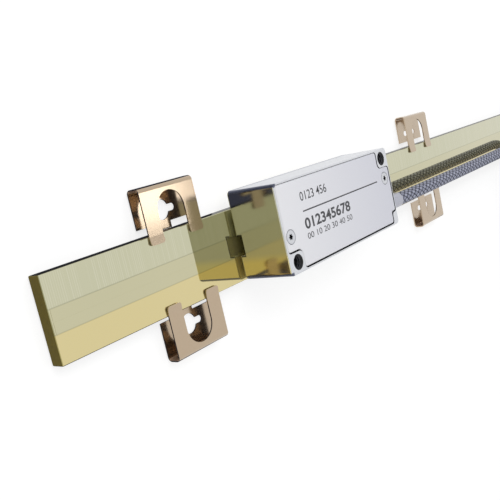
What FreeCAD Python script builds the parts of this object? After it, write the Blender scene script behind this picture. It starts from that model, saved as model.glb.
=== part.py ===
import FreeCAD, Part
import math
import os
import re

import Sketcher
from FreeCAD import Placement, Rotation, Vector

# Exposed absolute linear scale: a glass scale held by sheet spring clamps, and a scanning head
# that slides along it on a lead with a round plug.
# Millimetres. X runs along the scale, Y across it, Z out of its graduated face.
# The origin is the middle of the scale's back face.

SIZES = {
    # Glass scale and its graduation
    "measuring_length": 240.0, "scale_overrun": 18.3, "scale_width": 15.2,
    "scale_thickness": 2.8, "scale_chamfer": 0.15,
    "track_width": 2.05, "track_split": 0.2, "track_offset": -0.25, "track_film": 0.03,
    # Spring clamps, with lengths across the scale counted outwards from the glass edge
    "clamp_inset": 31.3, "clamp_width": 14.3, "clamp_reach": 8.9, "clamp_sheet": 0.3,
    "clamp_bend_radius": 0.9, "clamp_seat": 0.15, "finger_overlap": 1.8, "finger_lift": 0.2,
    "finger_corner": 0.6, "arch_width": 7.1, "screw_offset": 3.8, "screw_hole": 4.0,
    "slot_length": 7.3, "slot_height": 1.4, "nose_width": 3.4, "nose_gap": 0.05,
    "back_recess": 1.35,
    # Scanning head, with places counted from its lower left rear corner
    "head_length": 46.6, "head_width": 18.8, "head_depth": 12.0, "head_round": 0.3,
    "head_corner": 1.0, "head_left": -91.45, "head_low": -7.5, "running_gap": 0.7,
    "rim": 0.4, "cover_gap": 0.2, "cover_thickness": 1.0, "cover_edge": 0.12,
    "cover_lean": 0.1,
    "gasket_thickness": 0.3, "gasket_inset": 0.2, "gasket_width": 0.55, "ledge": 1.0,
    "floor_thickness": 2.6, "boss_length": 5.3, "boss_width": 4.6, "boss_round": 1.3,
    "step_length": 2.45, "step_width": 3.3, "outline_round": 0.6,
    "fixing_inset_x": 3.0, "fixing_inset_y": 2.35, "fixing_drill": 2.5, "fixing_mouth": 3.3,
    "cover_screw_inset": 2.3, "cover_screw_low": 7.65, "cover_screw_far_inset": 3.0,
    "cover_screw_drop": 7.1,
    "cover_screw_head": 3.0, "cover_screw_shank": 1.6, "cover_screw_length": 4.4,
    "cover_screw_socket": 1.3, "cover_screw_boss": 3.8,
    "groove_low": 5.1, "groove_width": 4.3, "groove_depth": 1.4, "groove_length": 34.0,
    # Scanning optics inside the head
    "window_length": 10.0, "window_width": 3.5,
    "reticle_length": 11.6, "reticle_width": 5.2, "reticle_thickness": 1.2, "reticle_seat": 0.4,
    "reticle_bond": 0.2, "optics_length": 16.0, "optics_width": 8.6,
    "optics_relief": 0.15, "lens_diameter": 4.0, "lens_shift": 2.9, "lens_rim": 0.5,
    "lens_crown": 0.45, "lens_ledge": 0.4, "lens_lift": 1.15, "light_diameter": 1.0,
    "light_base": 3.3, "light_base_height": 0.8, "chip_length": 4.6, "chip_width": 4.0,
    "chip_height": 0.9, "chip_pit": 0.15,
    # Circuit boards
    "board_thickness": 0.8, "sensor_board_length": 16.0, "sensor_board_width": 10.4,
    "board_clearance": 0.3, "main_board_width": 12.4, "main_board_y": 3.2,
    "board_headroom": 2.1, "board_spacing": 0.9, "board_post": 3.0, "board_post_inset": 1.8,
    "board_screw": 1.2, "board_screw_head": 2.2, "board_screw_head_height": 0.7,
    "board_screw_length": 3.0, "link_pins": 6, "link_pitch": 1.27, "link_pin": 0.4,
    # Lead and its sleeve at the head
    "lead_diameter": 3.4, "lead_y": 4.1, "lead_drop": 2.2, "core_diameter": 2.6,
    "sleeve_diameter": 3.8, "sleeve_fit": 0.04, "sleeve_length": 11.0, "sleeve_flange": 5.0,
    "sleeve_flange_length": 1.2, "core_reach": 3.2, "wire_diameter": 0.5,
    "wire_pitch": 0.85, "wire_bend": 1.0, "wire_reach": 1.4,
    # Put-away coil of the lead
    "coil_x": 77.5, "coil_y": -34.5, "coil_mean_radius": 13.6, "coil_turns_wide": 2,
    "coil_height": 13.3, "coil_lift": 0.5, "tie_width": 5.0, "tie_angle": -60.0,
    # Round plug, with places counted along its axis from its rear end
    "plug_x": 95.5, "plug_y": -24.8, "plug_diameter": 14.4, "boot_length": 14.0,
    "boot_tip": 4.8, "boot_root": 9.6, "nut_length": 8.0, "nut_flats": 12.6, "grip_length": 12.0,
    "nose_tube": 9.7, "insert_diameter": 8.6, "nose_tube_length": 6.0, "ring_diameter": 14.0,
    "ring_length": 8.0, "ring_running": 0.05, "ring_end_play": 0.1, "thread_diameter": 12.0,
    "thread_length": 8.0, "thread_bore": 10.5, "insert_flange": 10.2, "insert_flange_length": 1.2,
    "insert_nose": 1.8, "insert_depth": 14.0, "pin_diameter": 0.8, "pin_circle": 5.5,
    "pin_length": 6.2, "pins_round": 7, "seal_section": 1.1, "seal_groove": 0.4,
    "ring_flutes": 18, "flute_depth": 0.35, "grip_flutes": 12,
}

# Route of the lead from the sleeve to the coil, and from the coil to the plug
ROUTE = ((-33.85, -3.4, 10.2), (79.2, -3.4, 10.2), (87.8, -8.4, 10.5), (92.8, -17.0, 11.2),
         (92.8, -32.0, 12.1))
TAIL = ((82.0, -19.9, 8.8), (90.3, -24.8, 7.2), (100.5, -24.8, 7.2))

# What follows from the sizes: the scale's length, the clamps' distance from its middle, the
# heights and places of the head's boards, and where the lead leaves the head
SCALE_LENGTH = "(measuring_length + 2*scale_overrun)"
CLAMP_PITCH = SCALE_LENGTH + "/2 - clamp_inset"
BOARD_HEIGHT = "(head_depth - cover_thickness - board_headroom)"
OPTICS_HEIGHT = "(%s - board_spacing - board_thickness - floor_thickness)" % BOARD_HEIGHT
OPTICS_X = "head_length/2"
OPTICS_Y = "groove_low + groove_width/2"
LENS_X = OPTICS_X + " - lens_shift"
CHIP_X = OPTICS_X + " + lens_shift"
BOARD_X = "boss_length + ledge + board_clearance"
LEAD_Z = BOARD_HEIGHT + " - lead_drop"

doc = FreeCAD.newDocument("LinearScale")
sheet = doc.addObject("Spreadsheet::Sheet", "Sizes")
for row, (alias, value) in enumerate(SIZES.items(), start=1):
    sheet.set("A%d" % row, alias)
    sheet.set("B%d" % row, str(value))
    sheet.setAlias("B%d" % row, alias)
doc.recompute()


def formula(text):
    """A formula of size names, written the way the document's expressions read them."""
    return re.sub(r"[a-z][a-z_0-9]*", lambda m: "Sizes." + m.group() if m.group() in SIZES
                  else m.group(), text)


def number(text):
    """The present value of a formula of size names."""
    return float(sheet.evalExpression(formula(text)))


def bind(obj, **formulas):
    """Tie properties to formulas; a double underscore in a name stands for a dot."""
    for name, text in formulas.items():
        obj.setExpression(name.replace("__", "."), formula(text))
    return obj


def place(obj, x, y, z):
    """Tie a piece's place to three formulas."""
    return bind(obj, Placement__Base__x=x, Placement__Base__y=y, Placement__Base__z=z)


# The scanning head's corner, from which its pieces are placed
HEAD = ("head_left", "head_low", "scale_thickness + running_gap")


def head_at(x="0", y="0", z="0"):
    """Formulas for a point given by its offsets from the head's corner."""
    return tuple("%s + %s" % (corner, offset) for corner, offset in zip(HEAD, (x, y, z)))


def head_place(obj, x="0", y="0", z="0"):
    """Place a piece by its offsets from the head's corner."""
    return place(obj, *head_at(x, y, z))


def new_body(label):
    """An empty body with its own label."""
    body = doc.addObject("PartDesign::Body", label)
    body.Label = label
    return body


def sketch(body, role, outlines=(), circles=(), height="0"):
    """A sketch on one of the body's origin planes, with every point tied to the sheet.

    An outline is a list of corners (x, y). A corner (x, y, middle x, middle y, kind, centre)
    starts an arc to the next one, with its centre tied along X or Y. A circle is (x, y, diameter).
    """
    made = body.newObject("Sketcher::SketchObject", "Sketch")
    plane = next(o for o in body.Origin.OriginFeatures if o.Role == role)
    made.AttachmentSupport = [(plane, "")]
    made.MapMode = "FlatFace"
    bind(made, AttachmentOffset__Base__z=height)

    def tie(kind, index, point, text):
        at = made.addConstraint(Sketcher.Constraint(kind, -1, 1, index, point, number(text)))
        made.setExpression("Constraints[%d]" % at, formula(text))

    for outline in outlines:
        spots = [Vector(number(c[0]), number(c[1]), 0) for c in outline]
        first = made.GeometryCount
        count = len(outline)
        for i, corner in enumerate(outline):
            start, end = spots[i], spots[(i + 1) % count]
            if len(corner) == 2:
                made.addGeometry(Part.LineSegment(start, end))
            else:
                middle = Vector(number(corner[2]), number(corner[3]), 0)
                made.addGeometry(Part.Arc(start, middle, end))
        for i in range(count):
            after = first + (i + 1) % count
            here = made.Geometry[first + i]
            spot = spots[(i + 1) % count]
            here_end = 2 if here.EndPoint.distanceToPoint(spot) < 1e-6 else 1
            next_start = 1 if made.Geometry[after].StartPoint.distanceToPoint(spot) < 1e-6 else 2
            made.addConstraint(Sketcher.Constraint("Coincident", first + i, here_end,
                                                   after, next_start))
        for i, corner in enumerate(outline):
            start = 1 if made.Geometry[first + i].StartPoint.distanceToPoint(spots[i]) < 1e-6 else 2
            tie("DistanceX", first + i, start, corner[0])
            tie("DistanceY", first + i, start, corner[1])
            if len(corner) > 2:
                tie(corner[4], first + i, 3, corner[5])
    for x, y, diameter in circles:
        index = made.addGeometry(Part.Circle(Vector(number(x), number(y), 0), Vector(0, 0, 1),
                                             number(diameter) / 2))
        tie("DistanceX", index, 3, x)
        tie("DistanceY", index, 3, y)
        at = made.addConstraint(Sketcher.Constraint("Diameter", index, number(diameter)))
        made.setExpression("Constraints[%d]" % at, formula(diameter))
    return made


def rectangle(x1, y1, x2, y2):
    """The four corners of a rectangle as an outline."""
    return [(x1, y1), (x2, y1), (x2, y2), (x1, y2)]


def centred(x, y, half_length, half_width):
    """A rectangle's corners from its middle and half sizes."""
    return rectangle("%s - (%s)" % (x, half_length), "%s - (%s)" % (y, half_width),
                     "%s + %s" % (x, half_length), "%s + %s" % (y, half_width))


def pad(body, profile, length, middle=False):
    """Raise a sketch along its normal, or by half to either side."""
    made = body.newObject("PartDesign::Pad", "Pad")
    made.Profile = profile
    made.Midplane = middle
    bind(made, Length=length)
    doc.recompute()
    return made


def pocket(body, profile, depth, along=False):
    """Cut a sketch against its normal, or along it, and make sure that something went."""
    before = body.Shape.Volume
    made = body.newObject("PartDesign::Pocket", "Pocket")
    made.Profile = profile
    made.Reversed = along
    bind(made, Length=depth)
    doc.recompute()
    if body.Shape.Volume > before - 1e-6:
        raise RuntimeError("%s: a pocket cuts nothing" % body.Label)
    return made


def edge_names(shape, test):
    """Names of the edges whose middle and direction pass a test."""
    names = []
    for i, edge in enumerate(shape.Edges, start=1):
        middle = edge.valueAt((edge.FirstParameter + edge.LastParameter) / 2)
        ends = edge.Vertexes[-1].Point - edge.Vertexes[0].Point
        if test(middle, ends, edge):
            names.append("Edge%d" % i)
    return names


def soften(body, kind, test, size):
    """Fillet or chamfer the edges of a body that pass a test."""
    base = body.Tip
    names = edge_names(base.Shape, test)
    if not names:
        raise RuntimeError("%s: no edge to soften" % body.Label)
    made = body.newObject("PartDesign::" + kind, kind)
    made.Base = (base, names)
    bind(made, **{"Radius" if kind == "Fillet" else "Size": size})
    doc.recompute()
    return made


def upright_at(*spots):
    """A test for edges along Z that stand on one of the given points."""
    def test(middle, ends, edge):
        upright = abs(ends.x) + abs(ends.y) < 1e-4 and abs(ends.z) > 1e-4
        return upright and any(abs(middle.x - x) + abs(middle.y - y) < 2e-3 for x, y in spots)
    return test


def primitive(kind, label, **sizes):
    """A part primitive with its sizes tied to formulas."""
    made = doc.addObject("Part::" + kind, label)
    made.Label = label
    return bind(made, **sizes)


def cut(label, base, tool):
    """A base piece less a tool."""
    made = doc.addObject("Part::Cut", label)
    made.Label = label
    made.Base = base
    made.Tool = tool
    return made


def group(label, solids, at=("0", "0", "0")):
    """A piece, or several like pieces, worked out here from the sheet and placed by formulas."""
    made = doc.addObject("Part::Feature", label)
    made.Label = label
    made.Shape = solids[0] if len(solids) == 1 else Part.makeCompound(solids)
    return place(made, *at)


def rod(start, direction, length, diameter):
    """A plain round bar."""
    return Part.makeCylinder(diameter / 2, length, Vector(*start), Vector(*direction))


def turned(points, axis=(1, 0, 0)):
    """A turned piece from its half outline, as (distance along X, radius) points."""
    face = Part.Face(Part.makePolygon([Vector(s, r, 0) for s, r in points + points[:1]]))
    return face.revolve(Vector(0, 0, 0), Vector(*axis), 360)


def glass_scale():
    """The scale: a long glass strip with fine ground edges."""
    body = new_body("glass_scale")
    outline = rectangle("-scale_width/2", "0", "scale_width/2", "scale_thickness")
    pad(body, sketch(body, "YZ_Plane", [outline]), SCALE_LENGTH, middle=True)
    half = number(SCALE_LENGTH + "/2")
    soften(body, "Chamfer", lambda m, e, edge: abs(abs(m.x) - half) < 1e-4 or
           abs(e.x) > half, "scale_chamfer")
    return body


def track(label, low):
    """One graduation track: a thin reflecting film along the middle of the scale's face."""
    made = primitive("Box", label, Length=SCALE_LENGTH + " - 6*scale_chamfer", Width="track_width",
                     Height="track_film")
    return place(made, "3*scale_chamfer - %s/2" % SCALE_LENGTH, low, "scale_thickness")


def clamp(label, x, side):
    """A spring clamp bent from sheet: back plate, bend, and front plate with two fingers.

    The sketches give its form above the scale, and the lower clamps are turned half round.
    """
    body = new_body(label)
    top = "scale_thickness + clamp_sheet"
    edge = "scale_width/2"
    profile = [(edge + " + nose_gap", "0"), (edge + " + clamp_reach", "0"),
               (edge + " + clamp_reach", top), (edge + " - clamp_seat", top),
               (edge + " - finger_overlap", top + " + finger_lift"),
               (edge + " - finger_overlap", "scale_thickness + finger_lift"),
               (edge + " - clamp_seat", "scale_thickness"),
               (edge + " + clamp_reach - clamp_sheet", "scale_thickness"),
               (edge + " + clamp_reach - clamp_sheet", "clamp_sheet"),
               (edge + " + nose_gap", "clamp_sheet")]
    pad(body, sketch(body, "YZ_Plane", [profile]), "clamp_width", middle=True)

    inner = number(edge + " + clamp_reach - clamp_sheet")
    outer = number(edge + " + clamp_reach")
    wide = number("clamp_width") * 0.9
    soften(body, "Fillet", lambda m, e, i: abs(m.y - inner) < 1e-4 and abs(e.x) > wide,
           "clamp_bend_radius - clamp_sheet")
    soften(body, "Fillet", lambda m, e, i: abs(m.y - outer) < 1e-4 and abs(e.x) > wide,
           "clamp_bend_radius")

    middle_height = "scale_thickness/2"
    screw_y = edge + " + screw_offset"
    arch = [("-arch_width/2", edge + " - 2*finger_overlap"),
            ("arch_width/2", edge + " - 2*finger_overlap"),
            ("arch_width/2", screw_y, "0", screw_y + " + arch_width/2", "DistanceY", screw_y),
            ("-arch_width/2", screw_y)]
    through = "scale_thickness + clamp_sheet + finger_lift"
    pocket(body, sketch(body, "XY_Plane", [arch], height=middle_height), through, along=True)
    hole = [("0", screw_y, "screw_hole")]
    pocket(body, sketch(body, "XY_Plane", circles=hole, height=middle_height), "scale_thickness")
    flat = "(slot_length - slot_height)/2"
    low, high = screw_y + " - slot_height/2", screw_y + " + slot_height/2"
    slot = [("-" + flat, low), (flat, low, "slot_length/2", screw_y, "DistanceX", flat),
            (flat, high), ("-" + flat, high, "-slot_length/2", screw_y, "DistanceX", "-" + flat)]
    pocket(body, sketch(body, "XY_Plane", [slot], height=middle_height), "scale_thickness")
    shoulders = [rectangle(sign + "nose_width/2", edge + " - nose_gap",
                           sign + "clamp_width", edge + " + back_recess") for sign in ("-", "")]
    pocket(body, sketch(body, "XY_Plane", shoulders, height=middle_height), "scale_thickness")

    tip = number(edge + " - finger_overlap")
    soften(body, "Fillet", lambda m, e, i: abs(m.y - tip) < 1e-3 and abs(e.x) < 1e-4 and
           abs(e.z) > 1e-3, "finger_corner")
    body.Placement = Placement(Vector(0, 0, 0), Rotation(Vector(0, 0, 1), 90 - 90 * side))
    return place(body, x, "0", "0")


def cover_outline(grow):
    """The cover's outline, grown outwards by a formula.

    It leaves the two fixing corners free and steps back at the lower right corner.
    """
    edge = "rim + cover_gap - (%s)" % grow
    boss_x, boss_y = "boss_length - (%s)" % grow, "boss_width - (%s)" % grow
    right, top = "head_length - (%s)" % edge, "head_width - (%s)" % edge
    step_x, step_y = "head_length - step_length + %s" % grow, "step_width - (%s)" % grow
    far_x, far_y = "head_length - (%s)" % boss_x, "head_width - (%s)" % boss_y
    return [(boss_x, edge), (step_x, edge), (step_x, step_y), (right, step_y), (right, far_y),
            (far_x, far_y), (far_x, top), (edge, top), (edge, boss_y), (boss_x, boss_y)]


def corner_spots(outline, at_boss):
    """The present places of the outline's corners at the fixing bosses, or of all the others."""
    boss_corners = (outline[5], outline[-1])
    return [(number(corner[0]), number(corner[1])) for corner in outline
            if (corner in boss_corners) == at_boss]


def cover_screw_spots():
    """Formulas for the two screws of the cover, counted from the head's corner."""
    return [("cover_screw_inset", "cover_screw_low"),
            ("head_length - cover_screw_far_inset", "head_width - cover_screw_drop")]


def head_housing():
    """The scanning head's housing: an open box with fixing bosses, posts and a window."""
    body = new_body("head_housing")
    block = rectangle("0", "0", "head_length", "head_width")
    pad(body, sketch(body, "XY_Plane", [block]), "head_depth")
    recess = cover_outline("cover_gap")
    seat = "cover_thickness + gasket_thickness"
    pocket(body, sketch(body, "XY_Plane", [recess], height="head_depth"), seat)
    soften(body, "Fillet", upright_at(*corner_spots(recess, False)),
           "outline_round + cover_gap")
    soften(body, "Fillet", upright_at(*corner_spots(recess, True)),
           "boss_round - cover_gap")
    long, wide, rim = number("head_length"), number("head_width"), number("rim")
    soften(body, "Fillet", upright_at((0, 0), (long, 0), (long, wide), (0, wide)),
           "head_corner")
    soften(body, "Fillet", lambda m, e, i: abs(e.z) < 1e-4 and
           min(m.x, m.y, long - m.x, wide - m.y) < rim - 1e-3, "head_round")
    cavity = cover_outline("-ledge")
    pocket(body, sketch(body, "XY_Plane", [cavity], height="head_depth"),
           "head_depth - floor_thickness")

    screws = cover_screw_spots()
    post = "head_depth - floor_thickness - (%s)" % seat
    pad(body, sketch(body, "XY_Plane", circles=[(x, y, "cover_screw_boss") for x, y in screws],
                     height="floor_thickness"), post)
    pocket(body, sketch(body, "XY_Plane", height="head_depth",
                        circles=[(x, y, "cover_screw_shank") for x, y in screws]),
           "cover_thickness + cover_screw_length")
    posts = [(x, y, "board_post") for x, y in board_screw_spots()]
    pad(body, sketch(body, "XY_Plane", circles=posts, height="floor_thickness"),
        BOARD_HEIGHT + " - floor_thickness")
    pocket(body, sketch(body, "XY_Plane", height=BOARD_HEIGHT,
                        circles=[(x, y, "board_screw") for x, y in board_screw_spots()]),
           "board_screw_length")

    fixings = [("fixing_inset_x", "fixing_inset_y"),
               ("head_length - fixing_inset_x", "head_width - fixing_inset_y")]
    pocket(body, sketch(body, "XY_Plane", height="head_depth",
                        circles=[(x, y, "fixing_drill") for x, y in fixings]), "head_depth")
    mouth, deep = math.pi * number("fixing_drill"), number("head_depth")
    soften(body, "Chamfer", lambda m, e, edge: abs(m.z - deep) < 1e-4 and
           abs(edge.Length - mouth) < 1e-3, "(fixing_mouth - fixing_drill)/2")

    groove = rectangle("-head_round", "groove_low", "groove_length", "groove_low + groove_width")
    pocket(body, sketch(body, "XY_Plane", [groove]), "groove_depth", along=True)
    window = centred(OPTICS_X, OPTICS_Y, "window_length/2", "window_width/2")
    pocket(body, sketch(body, "XY_Plane", [window]), "floor_thickness", along=True)
    seat = centred(OPTICS_X, OPTICS_Y, "reticle_length/2 + reticle_bond",
                   "reticle_width/2 + reticle_bond")
    pocket(body, sketch(body, "XY_Plane", [seat], height="floor_thickness"), "reticle_seat")

    entry = [("lead_y", LEAD_Z, "sleeve_diameter + sleeve_fit")]
    pocket(body, sketch(body, "YZ_Plane", circles=entry, height="head_length"),
           SLEEVE_WALL + " + ledge")
    return head_place(body)


def head_cover():
    """The cover plate, flush with the housing's rim, with two countersunk screw holes.

    It leans towards the upper left of its recess, as far as its screws' play lets it.
    """
    body = new_body("head_cover")
    outline = [("%s - cover_lean" % x, "%s + cover_lean" % y) for x, y in cover_outline("0")]
    pad(body, sketch(body, "XY_Plane", [outline]), "cover_thickness")
    soften(body, "Fillet", upright_at(*corner_spots(outline, False)), "outline_round")
    soften(body, "Fillet", upright_at(*corner_spots(outline, True)), "boss_round")
    top = number("cover_thickness")
    soften(body, "Chamfer", lambda m, e, i: abs(m.z - top) < 1e-4, "cover_edge")
    screws = cover_screw_spots()
    pocket(body, sketch(body, "XY_Plane", height="cover_thickness",
                        circles=[(x, y, "cover_screw_shank + cover_gap") for x, y in screws]),
           "cover_thickness")
    pocket(body, sketch(body, "XY_Plane", height="cover_thickness",
                        circles=[(x, y, "cover_screw_head + 0.5*cover_gap") for x, y in screws]),
           "0.6*cover_thickness")
    return head_place(body, z="head_depth - cover_thickness")


def cover_gasket():
    """The flat seal between the housing's ledge and the cover."""
    body = new_body("cover_gasket")
    rings = [cover_outline("-gasket_inset"), cover_outline("-gasket_inset - gasket_width")]
    pad(body, sketch(body, "XY_Plane", rings), "gasket_thickness")
    return head_place(body, z="head_depth - cover_thickness - gasket_thickness")


def screw(head_diameter, head_height, shank, length, socket):
    """A flat-headed screw with a six-lobed socket, its head's top at height 0."""
    solid = rod((0, 0, -head_height), (0, 0, 1), head_height, head_diameter)
    solid = solid.fuse(rod((0, 0, -length), (0, 0, 1), length, shank))
    depth = 0.7 * head_height
    lobes = [rod((0, 0, -depth), (0, 0, 1), depth, 0.72 * socket)]
    for i in range(6):
        turn = math.radians(60 * i)
        spot = (0.36 * socket * math.cos(turn), 0.36 * socket * math.sin(turn), -depth)
        lobes.append(rod(spot, (0, 0, 1), depth, 0.28 * socket))
    return solid.cut(lobes[0].multiFuse(lobes[1:])).removeSplitter()


def cover_screws():
    """The two screws that hold the cover."""
    height = 0.6 * number("cover_thickness")
    solid = screw(number("cover_screw_head"), height, number("cover_screw_shank"),
                  number("cover_screw_length"), number("cover_screw_socket"))
    return group("cover_screws", [solid.translated(Vector(number(x), number(y), 0))
                                  for x, y in cover_screw_spots()], head_at(z="head_depth"))


def board_screw_spots():
    """Formulas for the two screws of the main board, counted from the head's corner."""
    return [(BOARD_X + " + board_post_inset", "main_board_y + main_board_width/2"),
            ("head_length - (%s) - board_post_inset" % BOARD_X,
             "main_board_y + main_board_width - board_post_inset")]


def board_screws():
    """The two small screws that hold the main board on its posts."""
    solid = screw(number("board_screw_head"), number("board_screw_head_height"),
                  number("board_screw"), number("board_screw_head_height + board_thickness + "
                                                "0.9*board_screw_length"),
                  number("0.5*board_screw_head"))
    return group("board_screws", [solid.translated(Vector(number(x), number(y), 0))
                                  for x, y in board_screw_spots()],
                 head_at(z=BOARD_HEIGHT + " + board_thickness + board_screw_head_height"))


def scanning_reticle():
    """The scanning reticle: a small glass plate over the window."""
    made = primitive("Box", "scanning_reticle", Length="reticle_length", Width="reticle_width",
                     Height="reticle_thickness")
    return head_place(made, OPTICS_X + " - reticle_length/2", OPTICS_Y + " - reticle_width/2",
                      "floor_thickness - reticle_seat")


def reticle_seal():
    """The bead of adhesive round the reticle, in its seat."""
    outer = primitive("Box", "seal_outer", Length="reticle_length + 2*reticle_bond",
                      Width="reticle_width + 2*reticle_bond", Height="reticle_seat")
    inner = primitive("Box", "seal_inner", Length="reticle_length", Width="reticle_width",
                      Height="reticle_seat + 2")
    head_place(outer, OPTICS_X + " - reticle_length/2 - reticle_bond",
               OPTICS_Y + " - reticle_width/2 - reticle_bond", "floor_thickness - reticle_seat")
    head_place(inner, OPTICS_X + " - reticle_length/2", OPTICS_Y + " - reticle_width/2",
               "floor_thickness - reticle_seat - 1")
    return cut("reticle_seal", outer, inner)


def optics_block():
    """The black block that stands over the reticle and holds the lens and the light source."""
    body = new_body("optics_block")
    top = OPTICS_HEIGHT
    block = centred(OPTICS_X, OPTICS_Y, "optics_length/2", "optics_width/2")
    pad(body, sketch(body, "XY_Plane", [block]), top)
    relief = centred(OPTICS_X, OPTICS_Y, "reticle_length/2 + optics_relief",
                     "reticle_width/2 + optics_relief")
    pocket(body, sketch(body, "XY_Plane", [relief]),
           "reticle_thickness - reticle_seat + optics_relief", along=True)
    bores = (("lens_diameter - 2*lens_ledge", top), ("lens_diameter", top + " - lens_lift"))
    for diameter, depth in bores:
        circle = [(LENS_X, OPTICS_Y, diameter)]
        pocket(body, sketch(body, "XY_Plane", circles=circle, height=top), depth)
    well = centred(LENS_X, OPTICS_Y, "light_base/2 + chip_pit", "light_base/2 + chip_pit")
    pocket(body, sketch(body, "XY_Plane", [well], height=top), "light_base_height + chip_pit")
    pit = centred(CHIP_X, OPTICS_Y, "chip_length/2 + chip_pit", "chip_width/2 + chip_pit")
    pocket(body, sketch(body, "XY_Plane", [pit], height=top), top)
    return head_place(body, z="floor_thickness")


def condenser_lens():
    """The plano-convex lens that makes the light parallel, on its ledge in the block."""
    radius, rim, crown = number("lens_diameter/2"), number("lens_rim"), number("lens_crown")
    sphere_radius = (radius ** 2 + crown ** 2) / (2 * crown)
    dome = Part.makeSphere(sphere_radius, Vector(0, 0, rim + crown - sphere_radius))
    barrel = rod((0, 0, 0), (0, 0, 1), rim + crown, 2 * radius)
    return group("condenser_lens", [barrel.common(dome)],
                 head_at(LENS_X, OPTICS_Y, "floor_thickness + lens_lift"))


def light_source():
    """The light source: a square base under the sensor board, with its dome facing down."""
    radius, base = number("light_diameter/2"), number("light_base")
    height = number("light_base_height")
    block = Part.makeBox(base, base, height, Vector(-base / 2, -base / 2, -height))
    dome = Part.makeSphere(radius, Vector(0, 0, -height))
    return group("light_source", [block.fuse(dome).removeSplitter()],
                 head_at(LENS_X, OPTICS_Y, "floor_thickness + " + OPTICS_HEIGHT))


def sensor_chip():
    """The sensor chip under the sensor board, over its window in the block."""
    made = primitive("Box", "sensor_chip", Length="chip_length", Width="chip_width",
                     Height="chip_height")
    return head_place(made, CHIP_X + " - chip_length/2", OPTICS_Y + " - chip_width/2",
                      "floor_thickness + %s - chip_height" % OPTICS_HEIGHT)


def sensor_board():
    """The small board on the optics block."""
    made = primitive("Box", "sensor_board", Length="sensor_board_length",
                     Width="sensor_board_width", Height="board_thickness")
    return head_place(made, OPTICS_X + " - sensor_board_length/2",
                      OPTICS_Y + " - sensor_board_width/2", "floor_thickness + " + OPTICS_HEIGHT)


def main_board():
    """The main circuit board on its two posts."""
    body = new_body("main_board")
    block = rectangle(BOARD_X, "main_board_y", "head_length - (%s)" % BOARD_X,
                      "main_board_y + main_board_width")
    pad(body, sketch(body, "XY_Plane", [block]), "board_thickness")
    pocket(body, sketch(body, "XY_Plane", height="board_thickness",
                        circles=[(x, y, "board_screw") for x, y in board_screw_spots()]),
           "board_thickness")
    return head_place(body, z=BOARD_HEIGHT)


# Parts on the main board: offset from the middle of its near edge, length, width and height
COMPONENTS = ((-3.7, 3.0, 7.0, 7.0, 0.9), (5.4, 5.0, 5.0, 4.0, 1.0), (-10.7, 1.0, 3.2, 1.6, 0.8),
              (-10.7, 8.6, 3.2, 2.5, 1.0), (4.8, 1.2, 2.0, 1.2, 0.8), (7.8, 1.2, 2.0, 1.2, 0.8),
              (10.8, 1.2, 2.0, 1.2, 0.8), (11.8, 5.0, 1.6, 0.8, 0.7), (-6.3, 10.6, 1.6, 0.8, 0.7),
              (-13.2, 1.2, 1.6, 0.8, 0.7), (4.4, 10.6, 1.6, 0.8, 0.7), (7.4, 10.6, 1.6, 0.8, 0.7))


def board_components():
    """The chips, capacitors and crystal on the main board."""
    return group("board_components", [Part.makeBox(length, width, height, Vector(x, y, 0))
                                      for x, y, length, width, height in COMPONENTS],
                 head_at("head_length/2", "main_board_y", BOARD_HEIGHT + " + board_thickness"))


def board_link():
    """The row of pins that joins the sensor board to the main board."""
    pitch, thickness = number("link_pitch"), number("link_pin")
    height = number("board_spacing")
    count = int(number("link_pins"))
    pins = [Part.makeBox(thickness, thickness, height,
                         Vector((i - (count - 1) / 2) * pitch - thickness / 2, 0, 0))
            for i in range(count)]
    return group("board_link", pins,
                 head_at(OPTICS_X, OPTICS_Y + " + (sensor_board_width - link_pitch)/2",
                         BOARD_HEIGHT + " - board_spacing"))


# How thick the housing's wall is round the sleeve, and how far in the lead's core reaches
SLEEVE_WALL = "step_length + ledge"
CORE_DEPTH = SLEEVE_WALL + " + sleeve_flange_length + core_reach"


def lead_sleeve():
    """The smooth sleeve that carries the lead out of the housing, with a flange inside."""
    wall, outside = number(SLEEVE_WALL), number("sleeve_length")
    flange, length = number("sleeve_flange/2"), number("sleeve_flange_length")
    radius, bore = number("sleeve_diameter/2"), number("core_diameter/2")
    edge = 0.12 * radius
    profile = [(-wall - length, bore), (outside, bore), (outside, radius - edge),
               (outside - edge, radius), (-wall, radius), (-wall, flange),
               (-wall - length, flange)]
    return group("lead_sleeve", [turned(profile)], head_at("head_length", "lead_y", LEAD_Z))


def lead_core():
    """The lead's inner jacket, which runs through the sleeve into the housing."""
    length = number("%s + sleeve_length" % CORE_DEPTH)
    return group("lead_core", [rod((0, 0, 0), (1, 0, 0), length, number("core_diameter"))],
                 head_at("head_length - (%s)" % CORE_DEPTH, "lead_y", LEAD_Z))


def signal_wires():
    """The lead's wires, each bent up to the underside of the main board."""
    pitch, bend, reach = number("wire_pitch"), number("wire_bend"), number("wire_reach")
    rise = number("lead_drop") - bend
    wires = []
    for i in range(4):
        y = (i - 1.5) * pitch * 0.7
        across = [Vector(0, y, 0), Vector(-reach - 0.9 * (i % 2), y, 0)]
        corner = across[1] + Vector(-bend * math.sin(math.pi / 4),
                                    0, bend * (1 - math.cos(math.pi / 4)))
        up = across[1] + Vector(-bend, 0, bend)
        path = Part.Wire([Part.LineSegment(*across).toShape(),
                          Part.Arc(across[1], corner, up).toShape(),
                          Part.LineSegment(up, up + Vector(0, 0, rise)).toShape()])
        profile = Part.Wire(Part.makeCircle(number("wire_diameter/2"), across[0],
                                            Vector(-1, 0, 0)))
        wires.append(path.makePipeShell([profile], True, True))
    return group("signal_wires", wires,
                 head_at("head_length - (%s)" % CORE_DEPTH, "lead_y", LEAD_Z))


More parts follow.
